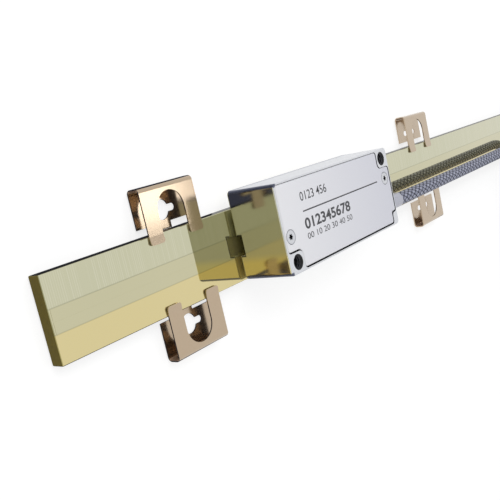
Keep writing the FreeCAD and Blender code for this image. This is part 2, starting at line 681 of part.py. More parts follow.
def tube(label, points, diameter):
    """A round cord along straight runs joined by tangent arcs; prints the arcs' radii."""
    spots = [Vector(*p) for p in points]
    runs = [(b - a).Length for a, b in zip(spots, spots[1:])]
    edges, radii, start = [], [], spots[0]
    for i in range(1, len(spots) - 1):
        back = (spots[i - 1] - spots[i]).normalize()
        ahead = (spots[i + 1] - spots[i]).normalize()
        turn = math.pi - back.getAngle(ahead)
        trim = 0.45 * min(runs[i - 1], runs[i])
        radius = trim / math.tan(turn / 2)
        radii.append(radius)
        inward = (back + ahead).normalize()
        middle = spots[i] + inward * (radius / math.cos(turn / 2) - radius)
        first, last = spots[i] + back * trim, spots[i] + ahead * trim
        edges.append(Part.LineSegment(start, first).toShape())
        edges.append(Part.Arc(first, middle, last).toShape())
        start = last
    edges.append(Part.LineSegment(start, spots[-1]).toShape())
    path = Part.Wire(edges)
    profile = Part.Wire(Part.makeCircle(diameter / 2, spots[0], spots[1] - spots[0]))
    solid = path.makePipeShell([profile], True, True)
    expected = path.Length * math.pi * diameter ** 2 / 4
    if abs(solid.Volume - expected) > 0.01 * expected:
        raise RuntimeError("%s: the swept volume is wrong" % label)
    print("%s: length %.1f mm, arc radii %s mm" % (label, path.Length,
                                                   " ".join("%.0f" % r for r in radii)))
    return group(label, [solid])


def lead_coil():
    """The put-away coil of the lead: the outer shape of its turns."""
    width = number("coil_turns_wide * lead_diameter")
    inner = number("coil_mean_radius") - width / 2
    height, corner = number("coil_height"), number("0.9 * lead_diameter/2")
    ring = Part.makeCylinder(inner + width, height).cut(Part.makeCylinder(inner, height))
    edges = [e for e in ring.Edges if e.Curve.TypeId == "Part::GeomCircle"]
    return group("lead_coil", [ring.makeFillet(corner, edges)], ("coil_x", "coil_y", "coil_lift"))


def coil_ties():
    """The two straps that hold the coil together."""
    width = number("coil_turns_wide * lead_diameter")
    inner = number("coil_mean_radius") - width / 2
    sheet_thickness, height = number("coil_lift"), number("coil_height")
    strap_width = number("tie_width")
    straps = []
    sagitta = inner + width - math.sqrt((inner + width) ** 2 - strap_width ** 2 / 4)
    for angle in (number("tie_angle"), number("tie_angle") + 180):
        long = width + 2 * sheet_thickness
        near = inner - sheet_thickness - sagitta
        outer = Part.makeBox(long + sagitta, strap_width, height + 2 * sheet_thickness,
                             Vector(near, -strap_width / 2, 0))
        hole = Part.makeBox(width + sagitta, strap_width, height,
                            Vector(near + sheet_thickness, -strap_width / 2, sheet_thickness))
        strap = outer.cut(hole)
        strap.rotate(Vector(0, 0, 0), Vector(0, 0, 1), angle)
        straps.append(strap)
    return group("coil_ties", straps, ("coil_x", "coil_y", "0"))


def along_plug():
    """Places along the plug's axis: end of boot, nut, grip, nose tube, ring and thread."""
    boot = number("boot_length")
    nut = boot + number("nut_length")
    grip = nut + number("grip_length")
    tube_end = grip + number("nose_tube_length")
    ring_start = grip + number("ring_end_play")
    ring_end = ring_start + number("ring_length")
    return boot, nut, grip, tube_end, ring_start, ring_end, ring_end + number("thread_length")


# The rear end of the plug's axis; the plug's grip rests on the table
PLUG = ("plug_x", "plug_y", "plug_diameter/2")


def plug_boot():
    """The plug's tapered rubber boot."""
    length, tip, root = (number(n) for n in ("boot_length", "boot_tip/2", "boot_root/2"))
    bore = number("lead_diameter/2")
    profile = [(0, bore), (length, bore), (length, root), (0.75 * length, root), (0, tip)]
    return group("plug_boot", [turned(profile)], PLUG)


def plug_nut():
    """The hexagonal nut that clamps the lead in the plug."""
    boot, nut = along_plug()[:2]
    across = number("nut_flats")
    corners = [Vector(boot, across / math.sqrt(3) * math.cos(math.radians(a)),
                      across / math.sqrt(3) * math.sin(math.radians(a)))
               for a in range(0, 361, 60)]
    prism = Part.Face(Part.makePolygon(corners)).extrude(Vector(nut - boot, 0, 0))
    easing = 0.08 * across
    big = across / math.sqrt(3) + easing
    cone = turned([(boot, 0), (boot, big - 2 * easing), (boot + 2 * easing, big), (nut, big),
                   (nut, 0)])
    bore = rod((boot, 0, 0), (1, 0, 0), nut - boot, number("lead_diameter"))
    return group("plug_nut", [prism.common(cone).cut(bore)], PLUG)


def fluted(solid, start, end, radius, count, depth):
    """A turned piece with round flutes cut along it."""
    cutters = []
    for i in range(count):
        turn = 2 * math.pi * i / count
        reach = radius + 1.5 * depth
        spot = (start, reach * math.cos(turn), reach * math.sin(turn))
        cutters.append(rod(spot, (1, 0, 0), end - start, 5 * depth))
    return solid.cut(Part.makeCompound(cutters))


def plug_body():
    """The plug's metal body with its fluted grip and the tube that carries the ring."""
    boot, nut, grip, tube_end = along_plug()[:4]
    radius, tube_radius = number("plug_diameter/2"), number("nose_tube/2")
    bore, lead = number("insert_diameter/2"), number("lead_diameter/2")
    insert_start = tube_end - number("insert_depth")
    edge = 0.06 * radius
    profile = [(nut, lead), (insert_start, lead), (insert_start, bore), (tube_end, bore),
               (tube_end, tube_radius), (grip, tube_radius), (grip, radius - edge),
               (grip - edge, radius), (nut + edge, radius), (nut, radius - edge)]
    solid = turned(profile)
    solid = fluted(solid, nut + 3 * edge, grip - 3 * edge, radius, int(number("grip_flutes")),
                   number("flute_depth"))
    return group("plug_body", [solid], PLUG)


def plug_insert():
    """The plastic insert that carries the contact pins."""
    tube_end = along_plug()[3]
    radius, flange = number("insert_diameter/2"), number("insert_flange/2")
    length, nose = number("insert_flange_length"), number("insert_nose")
    profile = [(tube_end - number("insert_depth"), 0), (tube_end + length + nose, 0),
               (tube_end + length + nose, radius), (tube_end + length, radius),
               (tube_end + length, flange), (tube_end, flange), (tube_end, radius),
               (tube_end - number("insert_depth"), radius)]
    return group("plug_insert", [turned(profile)], PLUG)


def plug_pins():
    """The contact pins: one in the middle and a ring of others."""
    start = along_plug()[3] + number("insert_flange_length + insert_nose")
    length, diameter = number("pin_length"), number("pin_diameter")
    circle = number("pin_circle/2")
    count = int(number("pins_round"))
    spots = [(0.0, 0.0)] + [(circle * math.cos(2 * math.pi * i / count),
                             circle * math.sin(2 * math.pi * i / count)) for i in range(count)]
    return group("plug_pins", [rod((start, y, z), (1, 0, 0), length, diameter)
                               for y, z in spots], PLUG)


def coupling_ring():
    """The coupling ring, which turns on the nose tube and carries the outer thread."""
    tube_end, ring_start, ring_end, thread_end = along_plug()[3:]
    bore = number("nose_tube/2 + ring_running")
    wide, outer = number("thread_bore/2"), number("ring_diameter/2")
    thread, groove = number("thread_diameter/2"), number("seal_groove")
    seal = number("seal_section")
    edge = 0.06 * outer
    shoulder = tube_end - number("ring_end_play")
    profile = [(ring_start, bore), (shoulder, bore), (shoulder, wide), (thread_end, wide),
               (thread_end, thread - edge), (thread_end - edge, thread), (ring_end + seal, thread),
               (ring_end + seal, thread - groove), (ring_end, thread - groove),
               (ring_end, outer - edge), (ring_end - edge, outer), (ring_start + edge, outer),
               (ring_start, outer - edge)]
    solid = fluted(turned(profile), ring_start + 2 * edge, ring_end - 2 * edge, outer,
                   int(number("ring_flutes")), number("flute_depth"))
    return group("coupling_ring", [solid], PLUG)


def ring_seal():
    """The rubber seal in the groove behind the thread."""
    ring_end = along_plug()[5]
    section = number("seal_section/2")
    radius = number("thread_diameter/2 - seal_groove") + section
    seal = Part.makeTorus(radius, section, Vector(ring_end + section, 0, 0), Vector(1, 0, 0))
    return group("ring_seal", [seal], PLUG)


nodes = [glass_scale(),
         track("code_track", "track_offset - track_width - track_split/2"),
         track("incremental_track", "track_offset + track_split/2")]
for place_name, place_x in (("left", "-(%s)" % CLAMP_PITCH), ("middle", "0"), ("right", CLAMP_PITCH)):
    nodes.append(clamp("clamp_%s_upper" % place_name, place_x, 1))
    nodes.append(clamp("clamp_%s_lower" % place_name, place_x, -1))
nodes += [head_housing(), head_cover(), cover_gasket(), cover_screws(), scanning_reticle(),
          reticle_seal(), optics_block(), condenser_lens(), light_source(), sensor_chip(),
          sensor_board(), main_board(), board_components(), board_link(), board_screws(),
          lead_sleeve(), lead_core(), signal_wires(),
          tube("lead", ROUTE, number("lead_diameter")), lead_coil(), coil_ties(),
          tube("lead_tail", TAIL, number("lead_diameter")), plug_boot(), plug_nut(),
          plug_body(), plug_insert(), plug_pins(), coupling_ring(), ring_seal()]
doc.recompute()

for obj in doc.Objects:
    if any(flag in obj.State for flag in ("Invalid", "Error")):
        raise RuntimeError("%s failed: %s" % (obj.Label, obj.State))
for node in nodes:
    if node.Shape.isNull() or not node.Shape.isValid() or not node.Shape.Solids:
        raise RuntimeError("%s has no valid solid" % node.Label)

travel = number("measuring_length/2")
rest = number("head_left + head_length/2")
print("head slide range: %.2f to %.2f mm" % (-travel - rest, travel - rest))

os.makedirs("parts", exist_ok=True)
for node in nodes:
    node.Shape.exportStep("parts/%s.step" % node.Label)
    print("%-20s %2d solids %10.2f mm3" % (node.Label, len(node.Shape.Solids), node.Shape.Volume))
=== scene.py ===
import logging
import math
from dataclasses import dataclass, field
from enum import Enum
from typing import Optional, Sequence, Union

import bmesh
import bpy
from mathutils import Matrix, Vector


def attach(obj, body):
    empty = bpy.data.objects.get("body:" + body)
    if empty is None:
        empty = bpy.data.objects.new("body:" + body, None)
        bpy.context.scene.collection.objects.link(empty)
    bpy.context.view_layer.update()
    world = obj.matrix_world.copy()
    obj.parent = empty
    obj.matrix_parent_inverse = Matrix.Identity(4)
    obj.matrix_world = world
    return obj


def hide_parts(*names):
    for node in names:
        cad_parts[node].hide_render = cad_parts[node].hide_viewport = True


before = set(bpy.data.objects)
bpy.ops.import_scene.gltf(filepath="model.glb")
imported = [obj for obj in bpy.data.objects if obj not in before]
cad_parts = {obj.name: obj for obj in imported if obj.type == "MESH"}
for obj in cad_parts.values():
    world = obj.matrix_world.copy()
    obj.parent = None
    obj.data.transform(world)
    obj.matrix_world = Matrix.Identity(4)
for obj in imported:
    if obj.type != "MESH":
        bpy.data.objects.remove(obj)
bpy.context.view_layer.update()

LOG = logging.getLogger("linear_scale")
MM = 0.001
Feed = Union["Wire", float, Sequence[float]]
Point = tuple[float, float, float]
Tint = tuple[float, float, float]
Shade = tuple[float, float, float, float]
# Half the width of a mask's step where it should look sharp, in millimetres
SHARP = 0.02
# In metres, the distance at which vertices are one, and the least that a length is divided by
WELD, TINY = 1e-7, 1e-12


class Body(str, Enum):
    """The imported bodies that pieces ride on."""

    SCALE = "scale"
    HEAD = "scanning_head"
    RING = "coupling_ring"


def colour(tint: Tint) -> Shade:
    """Turn a screen colour into the linear one that shaders use.

    Args:
        tint: Red, green and blue from 0 to 255.

    Returns:
        The linear colour with an alpha of 1.
    """

    def linear(value: float) -> float:
        """Linear light of one channel."""
        share = value / 255.0
        return share / 12.92 if share <= 0.04045 else ((share + 0.055) / 1.055) ** 2.4

    red, green, blue = tint
    return linear(red), linear(green), linear(blue), 1.0


def grey(level: float) -> Shade:
    """A grey of some linear level."""
    return level, level, level, 1.0


BLACK, WHITE = grey(0.0), grey(1.0)


def node_object(name: str) -> bpy.types.Object:
    """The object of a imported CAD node."""
    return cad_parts[name]


# Shader arithmetic


class Wire:
    """One output of a shader node, which takes part in Python arithmetic."""

    def __init__(self, shader: "Shader", socket: bpy.types.NodeSocket) -> None:
        """Wrap an output of one of a shader's nodes."""
        self.shader = shader
        self.socket = socket

    def _math(self, operation: str, first: Feed, second: Feed = 0.0) -> "Wire":
        """The result of one Math node with one or two values."""
        return self.shader.node("ShaderNodeMath", {"operation": operation}, {0: first, 1: second})

    def __add__(self, other: Feed) -> "Wire":
        """This value plus another."""
        return self._math("ADD", self, other)

    __radd__ = __add__

    def __sub__(self, other: Feed) -> "Wire":
        """This value less another."""
        return self._math("SUBTRACT", self, other)

    def __rsub__(self, other: Feed) -> "Wire":
        """Another value less this one."""
        return self._math("SUBTRACT", other, self)

    def __mul__(self, other: Feed) -> "Wire":
        """This value times another."""
        return self._math("MULTIPLY", self, other)

    def __pow__(self, other: Feed) -> "Wire":
        """This value to a power."""
        return self._math("POWER", self, other)

    def __abs__(self) -> "Wire":
        """This value without its sign."""
        return self._math("ABSOLUTE", self)

    def most(self, other: Feed) -> "Wire":
        """The larger of this value and another."""
        return self._math("MAXIMUM", self, other)

    def floor(self) -> "Wire":
        """The whole part of this value."""
        return self._math("FLOOR", self)

    def wrapped(self) -> "Wire":
        """This value less its whole part."""
        return self._math("FRACT", self)

    def over(self, edge: float, soft: float = SHARP) -> "Wire":
        """A mask that is 0 below an edge and 1 above it. Soft is half the step's width."""
        feeds = {"Value": self, "From Min": edge - soft, "From Max": edge + soft}
        return self.shader.node("ShaderNodeMapRange", {"interpolation_type": "SMOOTHSTEP"}, feeds)

    def below(self, edge: float, soft: float = SHARP) -> "Wire":
        """A mask that is 1 below an edge and 0 above it, with a step as in over()."""
        return 1.0 - self.over(edge, soft)

    def within(self, low: float, high: float, soft: float = SHARP) -> "Wire":
        """A mask that is 1 between two values, with steps as in over()."""
        return self.over(low, soft) * self.below(high, soft)

    def stripes(self, often: float, span: tuple[float, float], soft: float) -> "Wire":
        """Stripes, so many to one unit, each with its span and step as shares of the spacing."""
        return (self * often).wrapped().within(*span, soft)


class Shader:
    """A material under construction."""

    OUTPUT = "ShaderNodeOutputMaterial"

    def __init__(self, name: str) -> None:
        """Start without any nodes.

        Args:
            name: The material's name.
        """
        self.made = self.start(name)
        self.made.use_nodes = True
        self.tree = self.made.node_tree
        self.tree.nodes.clear()

    def start(self, name: str) -> bpy.types.ID:
        """A new material."""
        return bpy.data.materials.new(name)

    @staticmethod
    def _pick(sockets: Sequence[bpy.types.NodeSocket],
              key: Union[int, str]) -> bpy.types.NodeSocket:
        """Find a socket by its place, identifier or name."""
        named = {socket.identifier: socket for socket in sockets}
        return named[key] if key in named else sockets[key]

    def node(self, kind: str, settings: Optional[dict] = None, feeds: Optional[dict] = None,
             output: Union[int, str] = 0) -> Wire:
        """Add a node.

        Args:
            kind: The node's type.
            settings: Its settings, set first.
            feeds: Values or wires for its inputs.
            output: The output to return.

        Returns:
            The chosen output.
        """
        made = self.tree.nodes.new(kind)
        for name, value in (settings or {}).items():
            setattr(made, name, value)
        for key, value in (feeds or {}).items():
            socket = self._pick(made.inputs, key)
            if isinstance(value, Wire):
                self.tree.links.new(value.socket, socket)
            else:
                socket.default_value = value
        return Wire(self, self._pick(made.outputs, output))

    def split(self, spot: Wire) -> list[Wire]:
        """The three parts of a vector."""
        parts = self.node("ShaderNodeSeparateXYZ", None, {0: spot})
        return [Wire(self, output) for output in parts.socket.node.outputs]

    def place(self) -> Wire:
        """Object coordinates in metres."""
        return self.node("ShaderNodeTexCoord", output="Object")

    def axes(self) -> list[Wire]:
        """Object coordinates in millimetres, as three values."""
        return [part * (1.0 / MM) for part in self.split(self.place())]

    def noise(self, size_mm: float, detail: float = 2.0) -> Wire:
        """Even noise from 0 to 1, by the size of its grains and its finer layers."""
        feeds = {"Vector": self.place(), "Scale": 1.0 / (size_mm * MM), "Detail": detail}
        return self.node("ShaderNodeTexNoise", None, feeds)

    def seen_by(self, *rays: str) -> Wire:
        """Tell some kinds of ray from the others.

        Args:
            *rays: The kinds, as the Light Path node names them.

        Returns:
            A mask that is 1 for these rays.
        """
        outputs = self.tree.nodes.new("ShaderNodeLightPath").outputs
        seen, *others = [Wire(self, outputs["Is %s Ray" % ray]) for ray in rays]
        for other in others:
            seen = seen.most(other)
        return seen

    def mix(self, share: Feed, first: Feed, second: Feed) -> Wire:
        """Blend two colours, with a share of the second one."""
        feeds = {"Factor_Float": share, "A_Color": first, "B_Color": second}
        return self.node("ShaderNodeMix", {"data_type": "RGBA"}, feeds, "Result_Color")

    def paint(self, shade: Feed, share: Feed, tint: Tint) -> Wire:
        """Lay a share of a screen colour over a shade."""
        return self.mix(share, shade, colour(tint))

    def fade(self, share: Feed, tints: tuple[Tint, Tint]) -> Wire:
        """Blend two screen colours, with a share of the second one."""
        return self.paint(colour(tints[0]), share, tints[1])

    def bump(self, height: Wire, depth_mm: float, under: Optional[Wire] = None) -> Wire:
        """A bumped normal.

        Args:
            height: The height pattern, from 0 to 1.
            depth_mm: How deep the pattern goes.
            under: Another bumped normal to add to.

        Returns:
            The normal.
        """
        feeds = {"Height": height, "Distance": depth_mm * MM, "Strength": 1.0}
        if under is not None:
            feeds["Normal"] = under
        return self.node("ShaderNodeBump", None, feeds)

    def surface(self, **feeds: Feed) -> bpy.types.Material:
        """The material with one principled surface. An underscore stands for a space."""
        named = {name.replace("_", " "): value for name, value in feeds.items()}
        return self.closed(self.node("ShaderNodeBsdfPrincipled", None, named))

    def closed(self, shaded: Wire) -> bpy.types.ID:
        """Join a shader to the output.

        Args:
            shaded: The shader's result.

        Returns:
            The finished material or world.
        """
        out = self.tree.nodes.new(self.OUTPUT)
        self.tree.links.new(shaded.socket, out.inputs["Surface"])
        return self.made


class Sky(Shader):
    """A world under construction."""

    OUTPUT = "ShaderNodeOutputWorld"

    def start(self, name: str) -> bpy.types.ID:
        """A new world."""
        return bpy.data.worlds.new(name)


# Finishes. Their places are in millimetres in the row frame, their tints are screen colours.


@dataclass(frozen=True)
class Finish:
    """A finish of one colour with a fine grain in its colour, gloss and relief."""

    name: str
    tint: Tint
    metallic: float = 0.0
    roughness: float = 0.45
    grain_mm: float = 0.3
    grain_shade: float = 0.06
    grain_gloss: float = 0.05
    grain_depth_mm: float = 0.004
    smudge_mm: float = 6.0
    smudge_share: float = 0.3
    least_roughness: float = 0.02
    coat: float = 0.0

    def begun(self) -> tuple[Shader, Wire, Wire, Wire]:
        """Start the material and give the tint its grain.

        Returns:
            The shader, the colour, the roughness and the normal.
        """
        shader = Shader(self.name)
        shade = colour(self.tint)
        grain = shader.noise(self.grain_mm, 3.0)
        smudge = shader.noise(self.smudge_mm, 2.0)
        share = grain * (1.0 - self.smudge_share) + smudge * self.smudge_share
        dark = shader.mix(self.grain_shade, shade, BLACK)
        light = shader.mix(self.grain_shade, shade, WHITE)
        rough = self.roughness + (share - 0.5) * (2.0 * self.grain_gloss)
        relief = shader.bump(grain, self.grain_depth_mm)
        return shader, shader.mix(share, dark, light), rough.most(self.least_roughness), relief

    def build(self) -> bpy.types.Material:
        """Make the material.

        Returns:
            The finished material.
        """
        shader, shade, rough, normal = self.begun()
        return shader.surface(Base_Color=shade, Roughness=rough, Normal=normal,
                              Metallic=self.metallic, Coat_Weight=self.coat)


@dataclass(frozen=True)
class ScaleFinish(Finish):
    """Coated glass: three bands of colour, the middle one in the tint, and dark cut edges."""

    upper_tint: Tint = (196, 195, 166)
    lower_tint: Tint = (214, 200, 147)
    code_tint: Tint = (217, 215, 194)
    border_tint: Tint = (120, 122, 96)
    cloud_tint: Tint = (226, 214, 180)
    cut_tints: tuple[Tint, Tint] = ((110, 95, 20), (90, 79, 16))
    side_tint: Tint = (34, 34, 27)
    side_place: float = 7.57
    face_height: float = 2.7
    face_roughness: float = 0.02
    borders: tuple[float, float] = (1.9, -2.4)
    border_half: float = 0.12
    band_soft: float = 0.03
    clusters_per_mm: float = 0.35
    lines_per_mm: float = 2.3
    code_share: float = 0.42
    border_share: float = 0.28
    cloud_mm: float = 30.0
    cloud_least: float = 0.4
    cloud_share: float = 0.22
    cut_grain_mm: float = 0.8

    def build(self) -> bpy.types.Material:
        """Make the material.

        Returns:
            The finished material.
        """
        shader = Shader(self.name)
        x, y, z = shader.axes()
        front = z.over(self.face_height, self.band_soft)
        high, low = self.borders
        code = self.code_lines(shader, x) * self.code_share
        upper = shader.paint(colour(self.upper_tint), code, self.code_tint)
        shade = shader.mix(y.over(high, self.band_soft), colour(self.tint), upper)
        shade = shader.paint(shade, y.below(low, self.band_soft), self.lower_tint)
        lines = [y.within(place - self.border_half, place + self.border_half, soft=0.04)
                 for place in self.borders]
        shade = shader.paint(shade, (lines[0] + lines[1]) * self.border_share, self.border_tint)
        clouds = (shader.noise(self.cloud_mm, 1.0) - self.cloud_least) * self.cloud_share
        shade = shader.paint(shade, clouds, self.cloud_tint)
        cut = shader.fade(shader.noise(self.cut_grain_mm, 3.0), self.cut_tints)
        cut = shader.paint(cut, abs(y).over(self.side_place), self.side_tint)
        gloss = front * (self.roughness - self.face_roughness)
        return shader.surface(Base_Color=shader.mix(front, cut, shade),
                              Roughness=self.roughness - gloss,
                              Metallic=front * self.metallic, Specular_IOR_Level=0.08,
                              Coat_Weight=front * self.coat,
                              Normal=shader.bump(shader.noise(self.grain_mm),
                                                 self.grain_depth_mm))

    def code_lines(self, shader: Shader, x: Wire) -> Wire:
        """Irregular upright lines, as an absolute code has.

        Args:
            shader: The material under construction.
            x: The place along the scale, in millimetres.

        Returns:
            A mask that is 1 on the lines.
        """
        clusters = shader.node("ShaderNodeTexNoise", {"noise_dimensions": "1D"},
                               {"W": x, "Scale": self.clusters_per_mm, "Detail": 1.0})
        cell = (x * self.lines_per_mm).floor()
        chance = shader.node("ShaderNodeTexWhiteNoise", {"noise_dimensions": "1D"}, {"W": cell})
        return (chance.over(0.45, soft=0.3) * clusters.over(0.4, soft=0.2)
                * x.stripes(self.lines_per_mm, (0.25, 0.6), soft=0.12))


@dataclass(frozen=True)
class SpringFinish(Finish):
    """Rolled spring sheet with a thin lacquer, matt and without lacquer between its plates."""

    plates: tuple[float, float] = (0.34, 2.78)
    bend: float = 16.22
    inner_tint: Tint = (188, 156, 132)
    inner_matt: float = 0.4
    inner_dull: float = 0.75

    def build(self) -> bpy.types.Material:
        """Make the material.

        Returns:
            The finished material.
        """
        shader, shade, rough, _ = self.begun()
        _, y, z = shader.axes()
        inside = z.within(*self.plates) * abs(y).below(self.bend)
        return shader.surface(Base_Color=shader.paint(shade, inside, self.inner_tint),
                              Roughness=rough + inside * self.inner_matt,
                              Metallic=(1.0 - inside * self.inner_dull) * self.metallic,
                              Coat_Weight=(1.0 - inside) * self.coat, Coat_Roughness=0.14)


@dataclass(frozen=True)
class Bore:
    """An upright round hole."""

    x: float
    y: float
    radius: float

    def reach(self, x: Wire, y: Wire) -> Wire:
        """The distance from the hole's middle."""
        return ((x - self.x) ** 2.0 + (y - self.y) ** 2.0) ** 0.5


@dataclass(frozen=True)
class HousingFinish(Finish):
    """Blasted metal with a mirror-polish left face, threaded holes, painted reflections, shade and
    light.
    """

    left_face: float = -91.38
    # Painted reflection: below the edge the left face turns yellow, for the scale's gold band seen in
    # it.
    polish_and_reflection_tints: tuple[Tint, Tint] = ((255, 240, 186), (222, 220, 210))
    reflection_edge: float = -3.2
    polish_roughness: float = 0.11
    foot_height: float = 3.82
    foot_depth: float = 0.4
    # Painted reflection: the foot of the left face, kept out of the mirror, takes the olive of the
    # scale seen in it.
    foot_reflection_tint: Tint = (168, 162, 116)
    corner_half: float = 8.6
    corner_depth: float = 0.8
    # Painted reflection: navy at the left face's upper and lower corners, for dark surroundings seen in
    # them.
    corner_reflection_tint: Tint = (84, 88, 106)
    middle: float = 1.9
    groove: tuple[float, float] = (-2.42, 1.92)
    groove_top: float = 4.93
    groove_end: float = -57.4
    mouth: tuple[float, float] = (-2.6, 2.1)
    mouth_top: float = 5.02
    # Painted shade: the groove's mouth on the left face is darkened.
    mouth_shade_tint: Tint = (44, 42, 22)
    underside: float = 3.53
    # Painted light: a pale tint lightens the underside and the groove, which lie in shade.
    under_light_tint: Tint = (238, 234, 196)
    under_dull: float = 0.9
    back_face: float = 11.22
    # Painted shade: the back face is darker towards its lower edge.
    back_shade_top: float = 5.4
    back_shade_tints: tuple[Tint, Tint] = ((172, 176, 186), (219, 221, 226))
    # Painted shade: the recess round the cover is darkened.
    well_x: tuple[float, float] = (-91.09, -45.21)
    well_y: tuple[float, float] = (-7.14, 10.94)
    well_z: tuple[float, float] = (13.5, 15.46)
    well_shade_tint: Tint = (30, 30, 33)
    holes: tuple[Bore, ...] = (Bore(-88.45, -5.15, 1.27), Bore(-47.85, 8.95, 1.27))
    turns_per_mm: float = 2.0
    # Painted light and shade: light and dark stripes on the fixing holes' thread, and painted shade
    # deep in the holes.
    thread_light_and_shade_tints: tuple[Tint, Tint] = ((52, 54, 62), (168, 170, 180))
    thread_depth: float = 0.15
    shade_below: float = 14.0
    deep_shade_tint: Tint = (18, 18, 21)

    def build(self) -> bpy.types.Material:
        """Make the material.

        Returns:
            The finished material.
        """
        shader, shade, rough, normal = self.begun()
        x, y, z = shader.axes()
        foot = x.below(self.left_face + self.foot_depth) * z.below(self.foot_height)
        mirror = x.below(self.left_face) * (1.0 - foot)
        # Painted reflection: navy at the left face's corners.
        corner = (x.below(self.left_face + self.corner_depth, soft=0.2)
                  * abs(y - self.middle).over(self.corner_half, soft=0.15))
        shade = shader.paint(shade, corner, self.corner_reflection_tint)
        # Painted shade: the groove's mouth darkened.
        mouth = y.within(*self.mouth) * z.below(self.mouth_top)
        # Painted reflection: the left face's lower part is tinted yellow.
        reflected_polish = shader.fade(y.over(self.reflection_edge, soft=1.2), self.polish_and_reflection_tints)
        shade = shader.mix(mirror, shade, shader.paint(reflected_polish, mouth, self.mouth_shade_tint))
        # Painted reflection: olive on the left face's foot.
        shade = shader.paint(shade, foot, self.foot_reflection_tint)
        # Painted light: a pale tint on the underside and on the groove.
        groove = y.within(*self.groove) * z.below(self.groove_top) * (1.0 - mirror)
        under = z.below(self.underside).most(groove * x.below(self.groove_end))
        shade = shader.paint(shade, under, self.under_light_tint)
        # Painted shade: the back face darker towards its lower edge.
        back = shader.fade(z.over(self.back_shade_top, soft=1.4), self.back_shade_tints)
        shade = shader.mix(y.over(self.back_face, soft=0.05), shade, back)
        # Painted shade: the recess round the cover darkened.
        well = (x.within(*self.well_x, soft=0.01) * y.within(*self.well_y, soft=0.01)
                * z.within(*self.well_z))
        shade = shader.paint(shade, well, self.well_shade_tint)
        # Painted light and shade on the thread, and painted shade deep in the holes.
        turn = (z * self.turns_per_mm).wrapped()
        thread = shader.fade(turn.over(0.5, soft=0.2), self.thread_light_and_shade_tints)
        thread = shader.mix(z.over(self.shade_below, soft=0.5), colour(self.deep_shade_tint), thread)
        for hole in self.holes:
            inside = hole.reach(x, y).below(hole.radius, soft=0.03)
            shade = shader.mix(inside, shade, thread)
            normal = shader.bump(turn * inside, self.thread_depth, normal)
        metal = self.metallic + mirror * (1.0 - self.metallic)
        return shader.surface(Base_Color=shade, Normal=normal,
                              Roughness=rough * (1.0 - mirror) + mirror * self.polish_roughness,
                              Metallic=metal * (1.0 - under * self.under_dull))


@dataclass(frozen=True)
class CoverFinish(Finish):
    """Blasted cover brightened by painted light to its left end, with painted shade on sides the gap
    shows.
    """

    left: float = -91.0
    length: float = 46.0
    # Painted light: the cover grows brighter towards its left end.
    painted_light: Shade = (0.95, 0.95, 0.96, 1.0)
    painted_light_share: float = 0.6
    top: float = 15.37
    # Painted shade: the cover's sides, seen in the gap round it, are darkened.
    side_tint: Tint = (32, 32, 36)

    def build(self) -> bpy.types.Material:
        """Make the material.

        Returns:
            The finished material.
        """
        shader, shade, rough, normal = self.begun()
        x, _, z = shader.axes()
        # Painted light: brighter towards the left end.
        along = (x - self.left) * (1.0 / self.length)
        shade = shader.mix(along, shader.mix(self.painted_light_share, shade, self.painted_light), shade)
        # Painted shade on the cover's sides.
        shade = shader.mix(z.over(self.top), colour(self.side_tint), shade)
        return shader.surface(Base_Color=shade, Roughness=rough, Normal=normal, Metallic=self.metallic)


@dataclass(frozen=True)
class ScrewFinish(Finish):
    """Bright turned screw heads with painted shade in their six-lobed sockets and a darker outer ring.
    """

    sockets: tuple[Bore, ...] = (Bore(-89.15, 0.15, 0.72), Bore(-47.85, 4.2, 0.72))
    # Painted shade in the sockets.
    socket_shade_tint: Tint = (24, 24, 28)
    face: float = 15.3
    ring: tuple[float, float] = (1.34, 1.6)
    ring_tint: Tint = (110, 112, 122)
    ring_share: float = 0.6
    marks_per_mm: float = 6.0

    def build(self) -> bpy.types.Material:
        """Make the material.

        Returns:
            The finished material.
        """
        shader, shade, rough, normal = self.begun()
        x, y, z = shader.axes()
        deep = z.below(self.face, soft=0.05)
        for socket in self.sockets:
            reach = socket.reach(x, y)
            # Painted shade deep in the socket.
            shade = shader.paint(shade, reach.below(socket.radius, soft=0.04) * deep,
                                 self.socket_shade_tint)
            ring = reach.within(*self.ring, soft=0.05) * self.ring_share
            shade = shader.paint(shade, ring, self.ring_tint)
            marks = reach.stripes(self.marks_per_mm, (0.2, 0.6), soft=0.2)
            normal = shader.bump(marks, self.grain_depth_mm, normal)
        return shader.surface(Base_Color=shade, Roughness=rough, Normal=normal, Metallic=self.metallic)


@dataclass(frozen=True)
class BoardFinish(Finish):
    """Green solder mask over copper tracks."""

    tracks_per_mm: tuple[float, float] = (1.4, 1.1)
    track_tint: Tint = (40, 120, 66)
    track_share: float = 0.5
    track_depth: float = 0.02

    def build(self) -> bpy.types.Material:
        """Make the material.

        Returns:
            The finished material.
        """
        shader, shade, rough, normal = self.begun()
        x, y, _ = shader.axes()
        across, along = self.tracks_per_mm
        tracks = x.stripes(across, (0.35, 0.55), soft=0.05)
        tracks = tracks.most(y.stripes(along, (0.4, 0.6), soft=0.05))
        shade = shader.paint(shade, tracks * self.track_share, self.track_tint)
        return shader.surface(Base_Color=shade, Roughness=rough, Coat_Weight=self.coat,
                              Normal=shader.bump(tracks, self.track_depth, normal))


